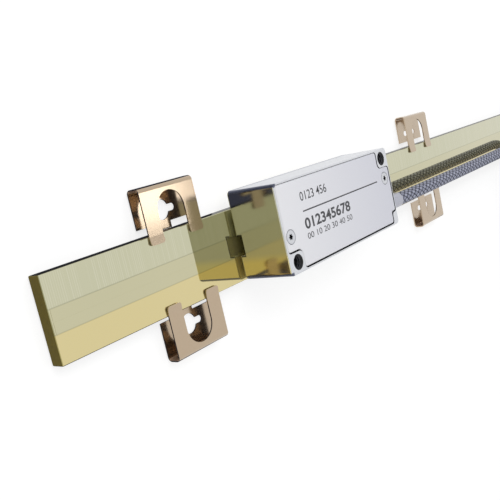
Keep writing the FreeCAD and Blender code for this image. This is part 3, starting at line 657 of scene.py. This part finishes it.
@dataclass(frozen=True)
class BraidFinish(Finish):
    """Bright wire braid that follows the lead: its pattern reads the lead's own UV map."""

    around: float = 8.0
    pitch_mm: float = 2.3
    least_lift: float = 0.25
    wires: float = 4.0
    wire_relief: float = 0.08
    # Painted shade in the gaps between strands.
    gap_shade_tint: Tint = (18, 20, 36)
    gap_rough: float = 0.3
    # Painted shade on one family of strands.
    over_shade_tint: Tint = (92, 96, 120)
    over_shade_share: float = 0.4
    # Painted shade at the creases between single wires.
    wire_shade_tint: Tint = (70, 72, 92)
    wire_shade_share: float = 0.25

    def build(self) -> bpy.types.Material:
        """Make the material.

        Returns:
            The finished material.
        """
        shader = Shader(self.name)
        turn, along, _ = shader.split(shader.node("ShaderNodeUVMap", {"uv_map": "braid"}))
        turn, along = turn * self.around, along * (1.0 / self.pitch_mm)
        right, left = turn + along, turn - along
        across_right = abs(right.wrapped() * 2.0 - 1.0)
        across_left = abs(left.wrapped() * 2.0 - 1.0)
        over = ((right.floor() + left.floor()) * 0.5).wrapped() * 2.0
        across = over * across_right + (1.0 - over) * across_left
        beside = over * across_left + (1.0 - over) * across_right
        lift = (1.0 - beside ** 2.0) * (1.0 - self.least_lift) + self.least_lift
        height = (1.0 - across ** 3.0) * lift
        wires = abs((across * self.wires).wrapped() - 0.5) * 2.0
        # Painted shade in the gaps between strands.
        shade = shader.fade(height.over(0.46, soft=0.24), (self.gap_shade_tint, self.tint))
        # Painted shade on one family of strands.
        shade = shader.paint(shade, over * self.over_shade_share, self.over_shade_tint)
        # Painted shade at the creases between single wires.
        dark = wires.over(0.75, soft=0.2) * self.wire_shade_share
        shade = shader.paint(shade, dark, self.wire_shade_tint)
        relief = shader.bump(height + wires * self.wire_relief, self.grain_depth_mm)
        return shader.surface(Base_Color=shade, Metallic=self.metallic, Normal=relief,
                              Roughness=self.roughness + (1.0 - height) * self.gap_rough)


class Finishes(Enum):
    """Every finish of the object."""

    SCALE = ScaleFinish("coated_scale_glass", (196, 192, 158), metallic=0.93, roughness=0.28,
                        grain_mm=0.1, grain_depth_mm=0.0002, coat=0.45)
    SPRING = SpringFinish("bronze_spring_sheet", (181, 160, 133), metallic=0.96, roughness=0.17,
                          grain_mm=0.5, grain_shade=0.03, grain_gloss=0.02, smudge_mm=5.0, coat=0.9)
    HOUSING = HousingFinish("blasted_housing", (216, 218, 223), metallic=0.55, roughness=0.34,
                            grain_mm=0.12, grain_shade=0.03, grain_depth_mm=0.002)
    COVER = CoverFinish("blasted_cover", (214, 215, 225), metallic=0.25, roughness=0.42,
                        grain_mm=0.1, grain_shade=0.02, grain_depth_mm=0.002, smudge_mm=12.0)
    INK = Finish("cover_ink", (38, 39, 46), roughness=0.5, grain_mm=0.1, grain_shade=0.05)
    SCREW = ScrewFinish("turned_screw", (206, 208, 213), metallic=0.7, roughness=0.3, grain_mm=0.15)
    SLEEVE = Finish("satin_sleeve", (176, 178, 190), metallic=0.7, roughness=0.32, grain_mm=0.2)
    BRAID = BraidFinish("wire_braid", (163, 167, 186), metallic=0.7, roughness=0.32, grain_depth_mm=0.3)
    NICKEL = Finish("nickel_plug", (198, 197, 192), metallic=1.0, roughness=0.24,
                    grain_shade=0.03, grain_depth_mm=0.001)
    RUBBER = Finish("black_rubber", (34, 34, 36), roughness=0.62, grain_depth_mm=0.01)
    SEAL = Finish("seal_rubber", (24, 24, 26), roughness=0.5, grain_mm=0.2)
    STRAP = Finish("woven_strap", (40, 41, 46), roughness=0.85, grain_mm=0.35, grain_shade=0.16,
                   grain_depth_mm=0.05)
    PLASTIC = Finish("moulded_black", (36, 37, 40), roughness=0.5, grain_mm=0.25)
    CHIP = Finish("chip_case", (30, 30, 34), roughness=0.4, grain_mm=0.15)
    LIGHT = Finish("clear_light_resin", (226, 214, 178), roughness=0.1, grain_mm=0.5, coat=0.5)
    LENS = Finish("lens_glass", (214, 224, 224), roughness=0.04, grain_mm=0.5, grain_shade=0.02,
                  grain_depth_mm=0.0002, coat=1.0)
    BOARD = BoardFinish("solder_mask", (22, 84, 46), roughness=0.35, coat=0.4)
    GOLD = Finish("plated_contact", (222, 184, 104), metallic=1.0, roughness=0.22, grain_mm=0.2)
    JACKET = Finish("core_jacket", (60, 62, 70), roughness=0.5)
    WIRE = Finish("wire_insulation", (156, 72, 50), roughness=0.4)
    BOND = Finish("cured_adhesive", (46, 40, 34), roughness=0.3, grain_mm=0.4)


Nodes = dict[Finishes, tuple[str, ...]]


class Wardrobe:
    """Builds each finish once and hands it out."""

    def __init__(self) -> None:
        """Start with nothing built."""
        self._made: dict[Finishes, bpy.types.Material] = {}

    def dress(self, piece: bpy.types.Object, finish: Finishes) -> None:
        """Give a piece one finish.

        Args:
            piece: The object to dress.
            finish: The finish that it gets.
        """
        if finish not in self._made:
            self._made[finish] = finish.value.build()
        if not piece.data.materials:
            piece.data.materials.append(self._made[finish])
        for slot in piece.material_slots:
            slot.link = "OBJECT"
            slot.material = self._made[finish]

    def dress_nodes(self, nodes: Nodes) -> None:
        """Give CAD nodes their finishes.

        Args:
            nodes: The names of the nodes that get a finish, by finish.
        """
        for finish, names in nodes.items():
            for name in names:
                self.dress(node_object(name), finish)
                LOG.info("node %s: %s", name, finish.value.name)


def evaluated(data: bpy.types.Curve) -> bpy.types.Mesh:
    """Turn a curve or a text into a mesh.

    Args:
        data: The curve or the text.

    Returns:
        The mesh that Blender shows for it.
    """
    holder = bpy.data.objects.new(data.name, data)
    bpy.context.scene.collection.objects.link(holder)
    bpy.context.view_layer.update()
    graph = bpy.context.evaluated_depsgraph_get()
    mesh = bpy.data.meshes.new_from_object(holder.evaluated_get(graph))
    bpy.data.objects.remove(holder)
    return mesh


def placed(mesh: bmesh.types.BMesh, name: str) -> bpy.types.Object:
    """Turn a bmesh into an object of the scene, and free it.

    Args:
        mesh: The mesh, in place in the row frame, in metres.
        name: The object's name.

    Returns:
        The new object.
    """
    data = bpy.data.meshes.new(name)
    mesh.to_mesh(data)
    mesh.free()
    made = bpy.data.objects.new(name, data)
    bpy.context.scene.collection.objects.link(made)
    return made


def finished(mesh: bmesh.types.BMesh, name: str, body: Body,
             smooth_angle: Optional[float] = None) -> bpy.types.Object:
    """Turn a bmesh into a piece that rides on a body.

    Args:
        mesh: The piece's mesh, in place in the row frame, in metres.
        name: The piece's name.
        body: The body that it rides on.
        smooth_angle: Edges flatter than this, in degrees, are shaded smooth.

    Returns:
        The new object.
    """
    bmesh.ops.remove_doubles(mesh, verts=mesh.verts, dist=WELD)
    bmesh.ops.recalc_face_normals(mesh, faces=mesh.faces)
    if smooth_angle is not None:
        limit = math.radians(smooth_angle)
        for face in mesh.faces:
            face.smooth = True
        for edge in mesh.edges:
            edge.smooth = edge.is_manifold and edge.calc_face_angle(0.0) < limit
    piece = placed(mesh, name)
    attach(piece, body.value)
    LOG.info("piece %s: %d faces, on %s", name, len(piece.data.polygons), body.value)
    return piece


# The stage. Its sizes are in metres.


@dataclass(frozen=True)
class Lamp:
    """A square soft lamp. Gloss sees the lamp itself only if it glints."""

    name: str
    place: Point
    side: float
    watts: float
    glints: bool = False

    def build(self, aim: Point) -> None:
        """Make the lamp.

        Args:
            aim: The point that it faces.
        """
        data = bpy.data.lights.new(self.name, "AREA")
        data.shape = "SQUARE"
        data.size = self.side
        data.energy = self.watts
        lamp = bpy.data.objects.new(self.name, data)
        lamp.location = self.place
        way = Vector(aim) - Vector(self.place)
        lamp.rotation_euler = way.to_track_quat("-Z", "Y").to_euler()
        lamp.visible_glossy = self.glints
        bpy.context.scene.collection.objects.link(lamp)


@dataclass(frozen=True)
class ReflectionCard:
    """A glowing card only gloss sees, for a painted reflection; turned about Y from lying flat, in
    degrees.
    """

    name: str
    place: Point
    size: tuple[float, float]
    turn: float
    tint: Tint
    hidden_from: tuple[str, ...] = ("camera", "diffuse", "shadow", "transmission", "volume_scatter")

    def build(self) -> None:
        """Make the card."""
        mesh = bmesh.new()
        bmesh.ops.create_grid(mesh, x_segments=1, y_segments=1, size=0.5)
        bmesh.ops.scale(mesh, verts=mesh.verts, vec=(*self.size, 1.0))
        bmesh.ops.rotate(mesh, verts=mesh.verts, cent=(0, 0, 0),
                         matrix=Matrix.Rotation(math.radians(self.turn), 3, "Y"))
        bmesh.ops.translate(mesh, verts=mesh.verts, vec=self.place)
        flag = placed(mesh, self.name)
        for ray in self.hidden_from:
            setattr(flag, "visible_" + ray, False)
        shader = Shader(self.name)
        # The card glows, though it is no lamp, and only gloss sees it: a painted reflection.
        glow = shader.node("ShaderNodeEmission", None, {"Color": colour(self.tint)})
        flag.data.materials.append(shader.closed(glow))


@dataclass
class Studio:
    """The camera at the photograph's angle, the pale floor and the soft light."""

    camera_place: Point = (-0.201533, 0.021604, 0.099967)
    camera_aim: Point = (-0.083984, -0.002749, 0.0)
    camera_up: Point = (0.26005, 0.96297, 0.0712)
    lens_mm: float = 51.876
    sensor_mm: float = 36.0
    world_fill: float = 0.44
    floor_size: float = 6.0
    floor_drop: float = 0.0004
    floor_glow: float = 0.76
    floor_shaded: float = 0.36
    floor_matt: float = 0.8
    # Painted reflections: a dark card on the floor by the head's left end, and a pale olive one
    # standing far to the left.
    reflection_cards: tuple[ReflectionCard, ...] = (
        ReflectionCard("dark_reflection_card", (-0.1155, 0.0, -0.0002), (0.045, 0.12), 0.0, (58, 60, 74)),
        ReflectionCard("pale_reflection_card", (-0.6, 0.0, 0.42), (0.84, 1.6), 90.0, (199, 199, 175)),
    )
    lamp_aim: Point = (-0.06, 0.0, 0.0)
    lamps: tuple[Lamp, ...] = (
        Lamp("clip_softbox", (0.419, -0.0288, 0.578), 0.066, 0.06, glints=True),
        Lamp("key_softbox", (-0.35, 0.55, 0.75), 0.7, 3.2),
        Lamp("rim_softbox", (0.2, 0.45, 0.5), 0.34, 0.8),
        Lamp("low_softbox", (-0.55, -0.5, 0.45), 0.6, 0.7),
    )

    def build(self) -> None:
        """Set up the whole stage."""
        self.add_camera()
        self.add_world()
        self.add_floor()
        for flag in self.reflection_cards:
            flag.build()
        for lamp in self.lamps:
            lamp.build(self.lamp_aim)
        bpy.context.scene.view_settings.view_transform = "Standard"

    def add_camera(self) -> None:
        """Make the camera and look through it."""
        data = bpy.data.cameras.new("camera")
        data.sensor_width = self.sensor_mm
        data.lens = self.lens_mm
        data.clip_start = 0.01
        camera = bpy.data.objects.new("camera", data)
        back = (Vector(self.camera_place) - Vector(self.camera_aim)).normalized()
        right = Vector(self.camera_up).cross(back).normalized()
        up = back.cross(right)
        turn = Matrix((right, up, back)).transposed().to_4x4()
        camera.matrix_world = Matrix.Translation(self.camera_place) @ turn
        bpy.context.scene.collection.objects.link(camera)
        bpy.context.scene.camera = camera

    def add_world(self) -> None:
        """White surroundings for the camera and gloss, softer light for the rest."""
        sky = Sky("studio")
        level = sky.node("ShaderNodeMapRange", None, {
            "Value": sky.seen_by("Camera", "Glossy"), "To Min": self.world_fill, "To Max": 1.0})
        glow = sky.node("ShaderNodeBackground", None, {"Color": WHITE, "Strength": level})
        bpy.context.scene.world = sky.closed(glow)

    def add_floor(self) -> None:
        """A pale floor that shows white and keeps a faint shadow."""
        mesh = bmesh.new()
        bmesh.ops.create_grid(mesh, x_segments=1, y_segments=1, size=self.floor_size / 2)
        bmesh.ops.translate(mesh, verts=mesh.verts, vec=(0.0, 0.0, -self.floor_drop))
        floor = placed(mesh, "floor")
        shader = Shader("pale_floor")
        seen = shader.seen_by("Camera", "Glossy", "Transmission")
        matt, shaded = [shader.node("ShaderNodeBsdfDiffuse", None, {"Color": grey(level)})
                        for level in (self.floor_matt, self.floor_shaded)]
        glow = shader.node("ShaderNodeEmission", None, {"Strength": self.floor_glow})
        lit = shader.node("ShaderNodeAddShader", None, {0: shaded, 1: glow})
        mixed = shader.node("ShaderNodeMixShader", None, {0: seen, 1: matt, 2: lit})
        floor.data.materials.append(shader.closed(mixed))


# The object. Its sizes are in millimetres, its meshes in metres.


@dataclass
class Assembly:
    """A sub-assembly with the finishes of its CAD nodes."""

    nodes: Nodes = field(default_factory=dict)

    def build(self, wardrobe: Wardrobe) -> None:
        """Dress the sub-assembly's CAD nodes.

        Args:
            wardrobe: Where the finishes come from.
        """
        wardrobe.dress_nodes(self.nodes)


@dataclass
class GlassScale(Assembly):
    """The scale with its tracks, and the clamps that hold it."""

    nodes: Nodes = field(default_factory=lambda: {
        Finishes.SCALE: ("glass_scale", "code_track", "incremental_track"),
        Finishes.SPRING: tuple("clamp_%s_%s" % (place, side)
                               for place in ("left", "middle", "right")
                               for side in ("upper", "lower")),
    })


@dataclass
class PrintedLine:
    """One line of plain figures on the cover."""

    name: str
    text: str
    height_mm: float
    left_mm: float
    low_mm: float
    width_mm: float
    weight: float = 0.0


@dataclass
class ScanningHead(Assembly):
    """The head's shell, its print and what it holds inside."""

    nodes: Nodes = field(default_factory=lambda: {
        Finishes.HOUSING: ("head_housing",),
        Finishes.COVER: ("head_cover",),
        Finishes.SEAL: ("cover_gasket",),
        Finishes.SCREW: ("cover_screws", "board_screws"),
        Finishes.LENS: ("scanning_reticle", "condenser_lens"),
        Finishes.BOND: ("reticle_seal",),
        Finishes.PLASTIC: ("optics_block",),
        Finishes.LIGHT: ("light_source",),
        Finishes.CHIP: ("sensor_chip", "board_components"),
        Finishes.BOARD: ("sensor_board", "main_board"),
        Finishes.GOLD: ("board_link",),
        Finishes.JACKET: ("lead_core",),
        Finishes.WIRE: ("signal_wires",),
    })
    left: float = -91.45
    low: float = -7.5
    top: float = 15.5
    ink_depth: float = 0.02
    rule_left: float = 8.08
    rule_right: float = 39.75
    rule_y: float = 11.55
    rule_width: float = 0.28
    lines: list[PrintedLine] = field(default_factory=lambda: [
        PrintedLine("upper_figures", "0123 456", 1.85, 8.0, 13.65, 10.0, 0.02),
        PrintedLine("bold_figures", "012345678", 2.35, 7.85, 7.75, 18.1, 0.13),
        PrintedLine("small_figures", "00 10 20 30 40 50", 1.25, 7.95, 5.75, 18.0),
    ])
    weight_share: float = 0.2

    def build(self, wardrobe: Wardrobe) -> None:
        """Dress the head and print its cover.

        Args:
            wardrobe: Where the finishes come from.
        """
        super().build(wardrobe)
        wardrobe.dress(self.print_rule(), Finishes.INK)
        for line in self.lines:
            wardrobe.dress(self.print_figures(line), Finishes.INK)

    def spot(self, x: float, y: float) -> Vector:
        """A point on the printed face from its offset from the head's corner, in metres."""
        return Vector((self.left + x, self.low + y, self.top)) * MM

    def print_rule(self) -> bpy.types.Object:
        """Print the thin rule across the cover.

        Returns:
            The printed piece.
        """
        mesh = bmesh.new()
        bmesh.ops.create_cube(mesh, size=1.0)
        long = (self.rule_right - self.rule_left) * MM
        bmesh.ops.scale(mesh, verts=mesh.verts,
                        vec=(long, self.rule_width * MM, self.ink_depth * MM))
        middle = self.spot((self.rule_left + self.rule_right) / 2, self.rule_y)
        bmesh.ops.translate(mesh, verts=mesh.verts, vec=middle)
        return finished(mesh, "cover_rule", Body.HEAD)

    def print_figures(self, line: PrintedLine) -> bpy.types.Object:
        """Print one line of figures.

        Args:
            line: What it says, how large it is and where it stands.

        Returns:
            The printed piece.
        """
        text = bpy.data.curves.new(line.name, "FONT")
        text.body = line.text
        text.size = 1.0
        text.extrude = self.ink_depth / 2
        text.offset = line.weight * self.weight_share
        flat = evaluated(text)
        mesh = bmesh.new()
        mesh.from_mesh(flat)
        bpy.data.meshes.remove(flat)
        xs = [vertex.co.x for vertex in mesh.verts]
        ys = [vertex.co.y for vertex in mesh.verts]
        bmesh.ops.translate(mesh, verts=mesh.verts, vec=(-min(xs), -min(ys), 0.0))
        across = line.width_mm * MM / (max(xs) - min(xs))
        upright = line.height_mm * MM / (max(ys) - min(ys))
        bmesh.ops.scale(mesh, verts=mesh.verts, vec=(across, upright, MM))
        bmesh.ops.translate(mesh, verts=mesh.verts, vec=self.spot(line.left_mm, line.low_mm))
        return finished(mesh, line.name, Body.HEAD)


@dataclass
class Lead(Assembly):
    """The braided lead: straight from the head, round to its coil, and on to the plug."""

    nodes: Nodes = field(default_factory=lambda: {Finishes.SLEEVE: ("lead_sleeve",)})
    diameter: float = 3.4
    route: tuple[Point, ...] = (
        (-33.85, -3.4, 10.2), (-24.0, -3.58, 10.2), (71.2, -3.62, 10.2), (83.2, -3.6, 10.2),
        (89.6, -7.6, 10.5), (92.8, -17.0, 11.2), (92.8, -30.0, 12.1))
    tail: tuple[Point, ...] = ((89.6, -23.6, 8.0), (95.5, -24.8, 7.3), (100.5, -24.8, 7.2))
    coil_middle: tuple[float, float] = (77.5, -34.5)
    coil_radius: float = 13.6
    coil_lanes: tuple[tuple[float, float], ...] = (
        (0.5, 3), (-0.5, 3), (-0.5, 2), (-0.5, 1), (-0.5, 0), (0.5, 0.1), (0.5, 1.2), (0.5, 2.1))
    first_change: float = 0.88
    change_share: float = 0.08
    fan: float = 0.25
    wander: float = 0.35
    wander_turn: float = 1.7
    wander_start: float = 0.6
    bottom: float = 2.2
    layer_rise: float = 3.3
    last_step: int = 162
    points_per_turn: int = 24
    sides: int = 24
    ring_step: float = 0.8
    tie_angle: float = -60.0
    tie_sheet: float = 0.5
    tie_width: float = 5.0
    tie_corner: float = 1.4

    def build(self, wardrobe: Wardrobe) -> None:
        """Make the lead and its ties, and dress the sleeve.

        Args:
            wardrobe: Where the finishes come from.
        """
        line = self.centre_line()
        piece = self.tube(line)
        wardrobe.dress(piece, Finishes.BRAID)
        ties = self.ties()
        wardrobe.dress(ties, Finishes.STRAP)
        super().build(wardrobe)
        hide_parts("lead", "lead_coil", "lead_tail")
        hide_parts("coil_ties")
        length = sum((b - a).length for a, b in zip(line, line[1:]))
        LOG.info("lead: %.0f mm long", length / MM)
        plug = [node_object(name) for names in Plug().nodes.values() for name in names]

    def coil_points(self) -> list[Point]:
        """Control points of the coil's turns, which run clockwise, in millimetres.

        Each turn has a lane of its own and changes to the next one a little before the turn
        above it does, so that the lane is free. Between the ties the turns fan out.

        Returns:
            The points, from the first turn to the last.
        """
        points = []
        stretch = 1.0 / math.cos(math.pi / self.points_per_turn)
        for step in range(1, self.last_step + 1):
            turn = step // self.points_per_turn
            lane, layer = self.coil_lanes[turn]
            if turn + 1 < len(self.coil_lanes):
                start = self.first_change - turn * self.change_share
                share = (step / self.points_per_turn - turn - start) / self.change_share
                share = min(max(share, 0.0), 1.0)
                ahead = self.coil_lanes[turn + 1]
                lane += share * (ahead[0] - lane)
                layer += share * (ahead[1] - layer)
            angle = -2 * math.pi * step / self.points_per_turn
            free = math.sin(angle - math.radians(self.tie_angle)) ** 2
            radius = self.coil_radius + lane * self.diameter * (1.0 + self.fan * free)
            wave = math.sin(self.wander_turn * turn * turn + self.wander_start)
            radius += self.wander * free * wave
            points.append((self.coil_middle[0] + radius * stretch * math.cos(angle),
                           self.coil_middle[1] + radius * stretch * math.sin(angle),
                           self.bottom + layer * self.layer_rise))
        return points

    def centre_line(self) -> list[Vector]:
        """Read the points that the lead follows from its smooth spline.

        Returns:
            The points, evenly spaced, in metres.
        """
        points = list(self.route) + self.coil_points() + list(self.tail)
        curve = bpy.data.curves.new("lead_route", "CURVE")
        curve.dimensions = "3D"
        curve.resolution_u = 6
        spline = curve.splines.new("NURBS")
        spline.points.add(len(points) - 1)
        for knot, point in zip(spline.points, points):
            knot.co = (point[0] * MM, point[1] * MM, point[2] * MM, 1.0)
        spline.order_u = 3
        spline.use_endpoint_u = True
        thread = evaluated(curve)
        line = [vertex.co.copy() for vertex in thread.vertices]
        bpy.data.meshes.remove(thread)
        return self.even(line)

    def even(self, line: list[Vector]) -> list[Vector]:
        """Space points of a line evenly.

        Args:
            line: The line's points.

        Returns:
            Points about one ring step apart, with the same ends.
        """
        lengths = [0.0]
        for a, b in zip(line, line[1:]):
            lengths.append(lengths[-1] + (b - a).length)
        count = round(lengths[-1] / (self.ring_step * MM))
        spots, at = [], 0
        for i in range(count + 1):
            goal = lengths[-1] * i / count
            while at < len(line) - 2 and lengths[at + 1] < goal:
                at += 1
            share = (goal - lengths[at]) / max(lengths[at + 1] - lengths[at], TINY)
            spots.append(line[at].lerp(line[at + 1], min(share, 1.0)))
        return spots

    def tube(self, line: list[Vector]) -> bpy.types.Object:
        """Sweep the lead's round section along its line, with a UV map for the braid.

        Args:
            line: The points that it follows, in metres.

        Returns:
            The lead.
        """
        mesh = bmesh.new()
        ring_of = mesh.verts.layers.int.new("ring")
        side_of = mesh.verts.layers.int.new("side")
        made = bmesh.ops.create_circle(mesh, cap_ends=False, segments=self.sides,
                                       radius=self.diameter * MM / 2)
        ring = made["verts"]
        for index, vertex in enumerate(ring):
            vertex[side_of] = index
        heading = (line[1] - line[0]).normalized()
        turn = Vector((0.0, 0.0, 1.0)).rotation_difference(heading)
        bmesh.ops.rotate(mesh, verts=ring, cent=(0, 0, 0), matrix=turn.to_matrix())
        bmesh.ops.translate(mesh, verts=ring, vec=line[0])
        edges = list(mesh.edges)
        for index in range(1, len(line)):
            made = bmesh.ops.extrude_edge_only(mesh, edges=edges)["geom"]
            ring = [part for part in made if isinstance(part, bmesh.types.BMVert)]
            edges = [part for part in made if isinstance(part, bmesh.types.BMEdge)]
            bmesh.ops.translate(mesh, verts=ring, vec=line[index] - line[index - 1])
            ahead = line[min(index + 1, len(line) - 1)] - line[index - 1]
            ahead = ahead.normalized() if index < len(line) - 1 else heading
            turn = heading.rotation_difference(ahead)
            bmesh.ops.rotate(mesh, verts=ring, cent=line[index], matrix=turn.to_matrix())
            heading = ahead
            for vertex in ring:
                vertex[ring_of] = index
        wrap = mesh.loops.layers.uv.new("braid")
        step = sum((b - a).length for a, b in zip(line, line[1:])) / (len(line) - 1) / MM
        for face in mesh.faces:
            sides = [loop.vert[side_of] for loop in face.loops]
            crosses = max(sides) - min(sides) > 1
            for loop in face.loops:
                side = loop.vert[side_of]
                side += self.sides if crosses and side == 0 else 0
                loop[wrap].uv = (side / self.sides, loop.vert[ring_of] * step)
            face.smooth = True
        ends = [edge for edge in mesh.edges if edge.is_boundary]
        bmesh.ops.holes_fill(mesh, edges=ends, sides=self.sides)
        return finished(mesh, "braided_lead", Body.HEAD, smooth_angle=40.0)

    def ties(self) -> bpy.types.Object:
        """Make the two woven straps round the coil.

        Returns:
            Both straps as one piece.
        """
        mesh = bmesh.new()
        sheet, width = self.tie_sheet * MM, self.tie_width * MM
        inner = (self.coil_radius - self.diameter) * MM
        outer = (self.coil_radius + self.diameter) * MM
        height = (self.bottom + 3 * self.layer_rise + self.diameter / 2) * MM + sheet
        for side in (0.0, 180.0):
            made = bmesh.ops.create_cube(mesh, size=1.0)["verts"]
            bmesh.ops.scale(mesh, verts=made, vec=(outer - inner + 2 * sheet, width, height))
            faces = {face for vertex in made for face in vertex.link_faces}
            caps = [face for face in faces if abs(face.normal.y) > 0.9]
            bmesh.ops.delete(mesh, geom=caps, context="FACES_ONLY")
            long = {edge for vertex in made for edge in vertex.link_edges
                    if abs(edge.verts[0].co.y - edge.verts[1].co.y) > width / 2}
            rounded = bmesh.ops.bevel(mesh, geom=list(long), offset=self.tie_corner * MM,
                                      segments=5, profile=0.5, material=-1, affect="EDGES")
            verts = list(set(made) & set(mesh.verts) | set(rounded["verts"]))
            verts = [vertex for vertex in verts if vertex.is_valid]
            bmesh.ops.translate(mesh, verts=verts, vec=((inner + outer) / 2, 0.0, height / 2))
            turn = Matrix.Rotation(math.radians(self.tie_angle + side), 3, "Z")
            bmesh.ops.rotate(mesh, verts=verts, cent=(0, 0, 0), matrix=turn)
        bmesh.ops.recalc_face_normals(mesh, faces=mesh.faces)
        bmesh.ops.solidify(mesh, geom=list(mesh.faces), thickness=sheet)
        bmesh.ops.translate(mesh, verts=mesh.verts,
                            vec=(self.coil_middle[0] * MM, self.coil_middle[1] * MM, 0.0))
        return finished(mesh, "coil_straps", Body.HEAD, smooth_angle=35.0)


@dataclass
class Plug(Assembly):
    """The round plug at the lead's end."""

    nodes: Nodes = field(default_factory=lambda: {
        Finishes.NICKEL: ("plug_nut", "plug_body", "coupling_ring"),
        Finishes.RUBBER: ("plug_boot",),
        Finishes.PLASTIC: ("plug_insert",),
        Finishes.GOLD: ("plug_pins",),
        Finishes.SEAL: ("ring_seal",),
    })


def main() -> None:
    """Build the stage and dress the object."""
    logging.basicConfig(level=logging.INFO, format="%(name)s: %(message)s")
    wardrobe = Wardrobe()
    Studio().build()
    for assembly in (Lead(), GlassScale(), ScanningHead(), Plug()):
        assembly.build(wardrobe)


if __name__ == "__main__":
    main()
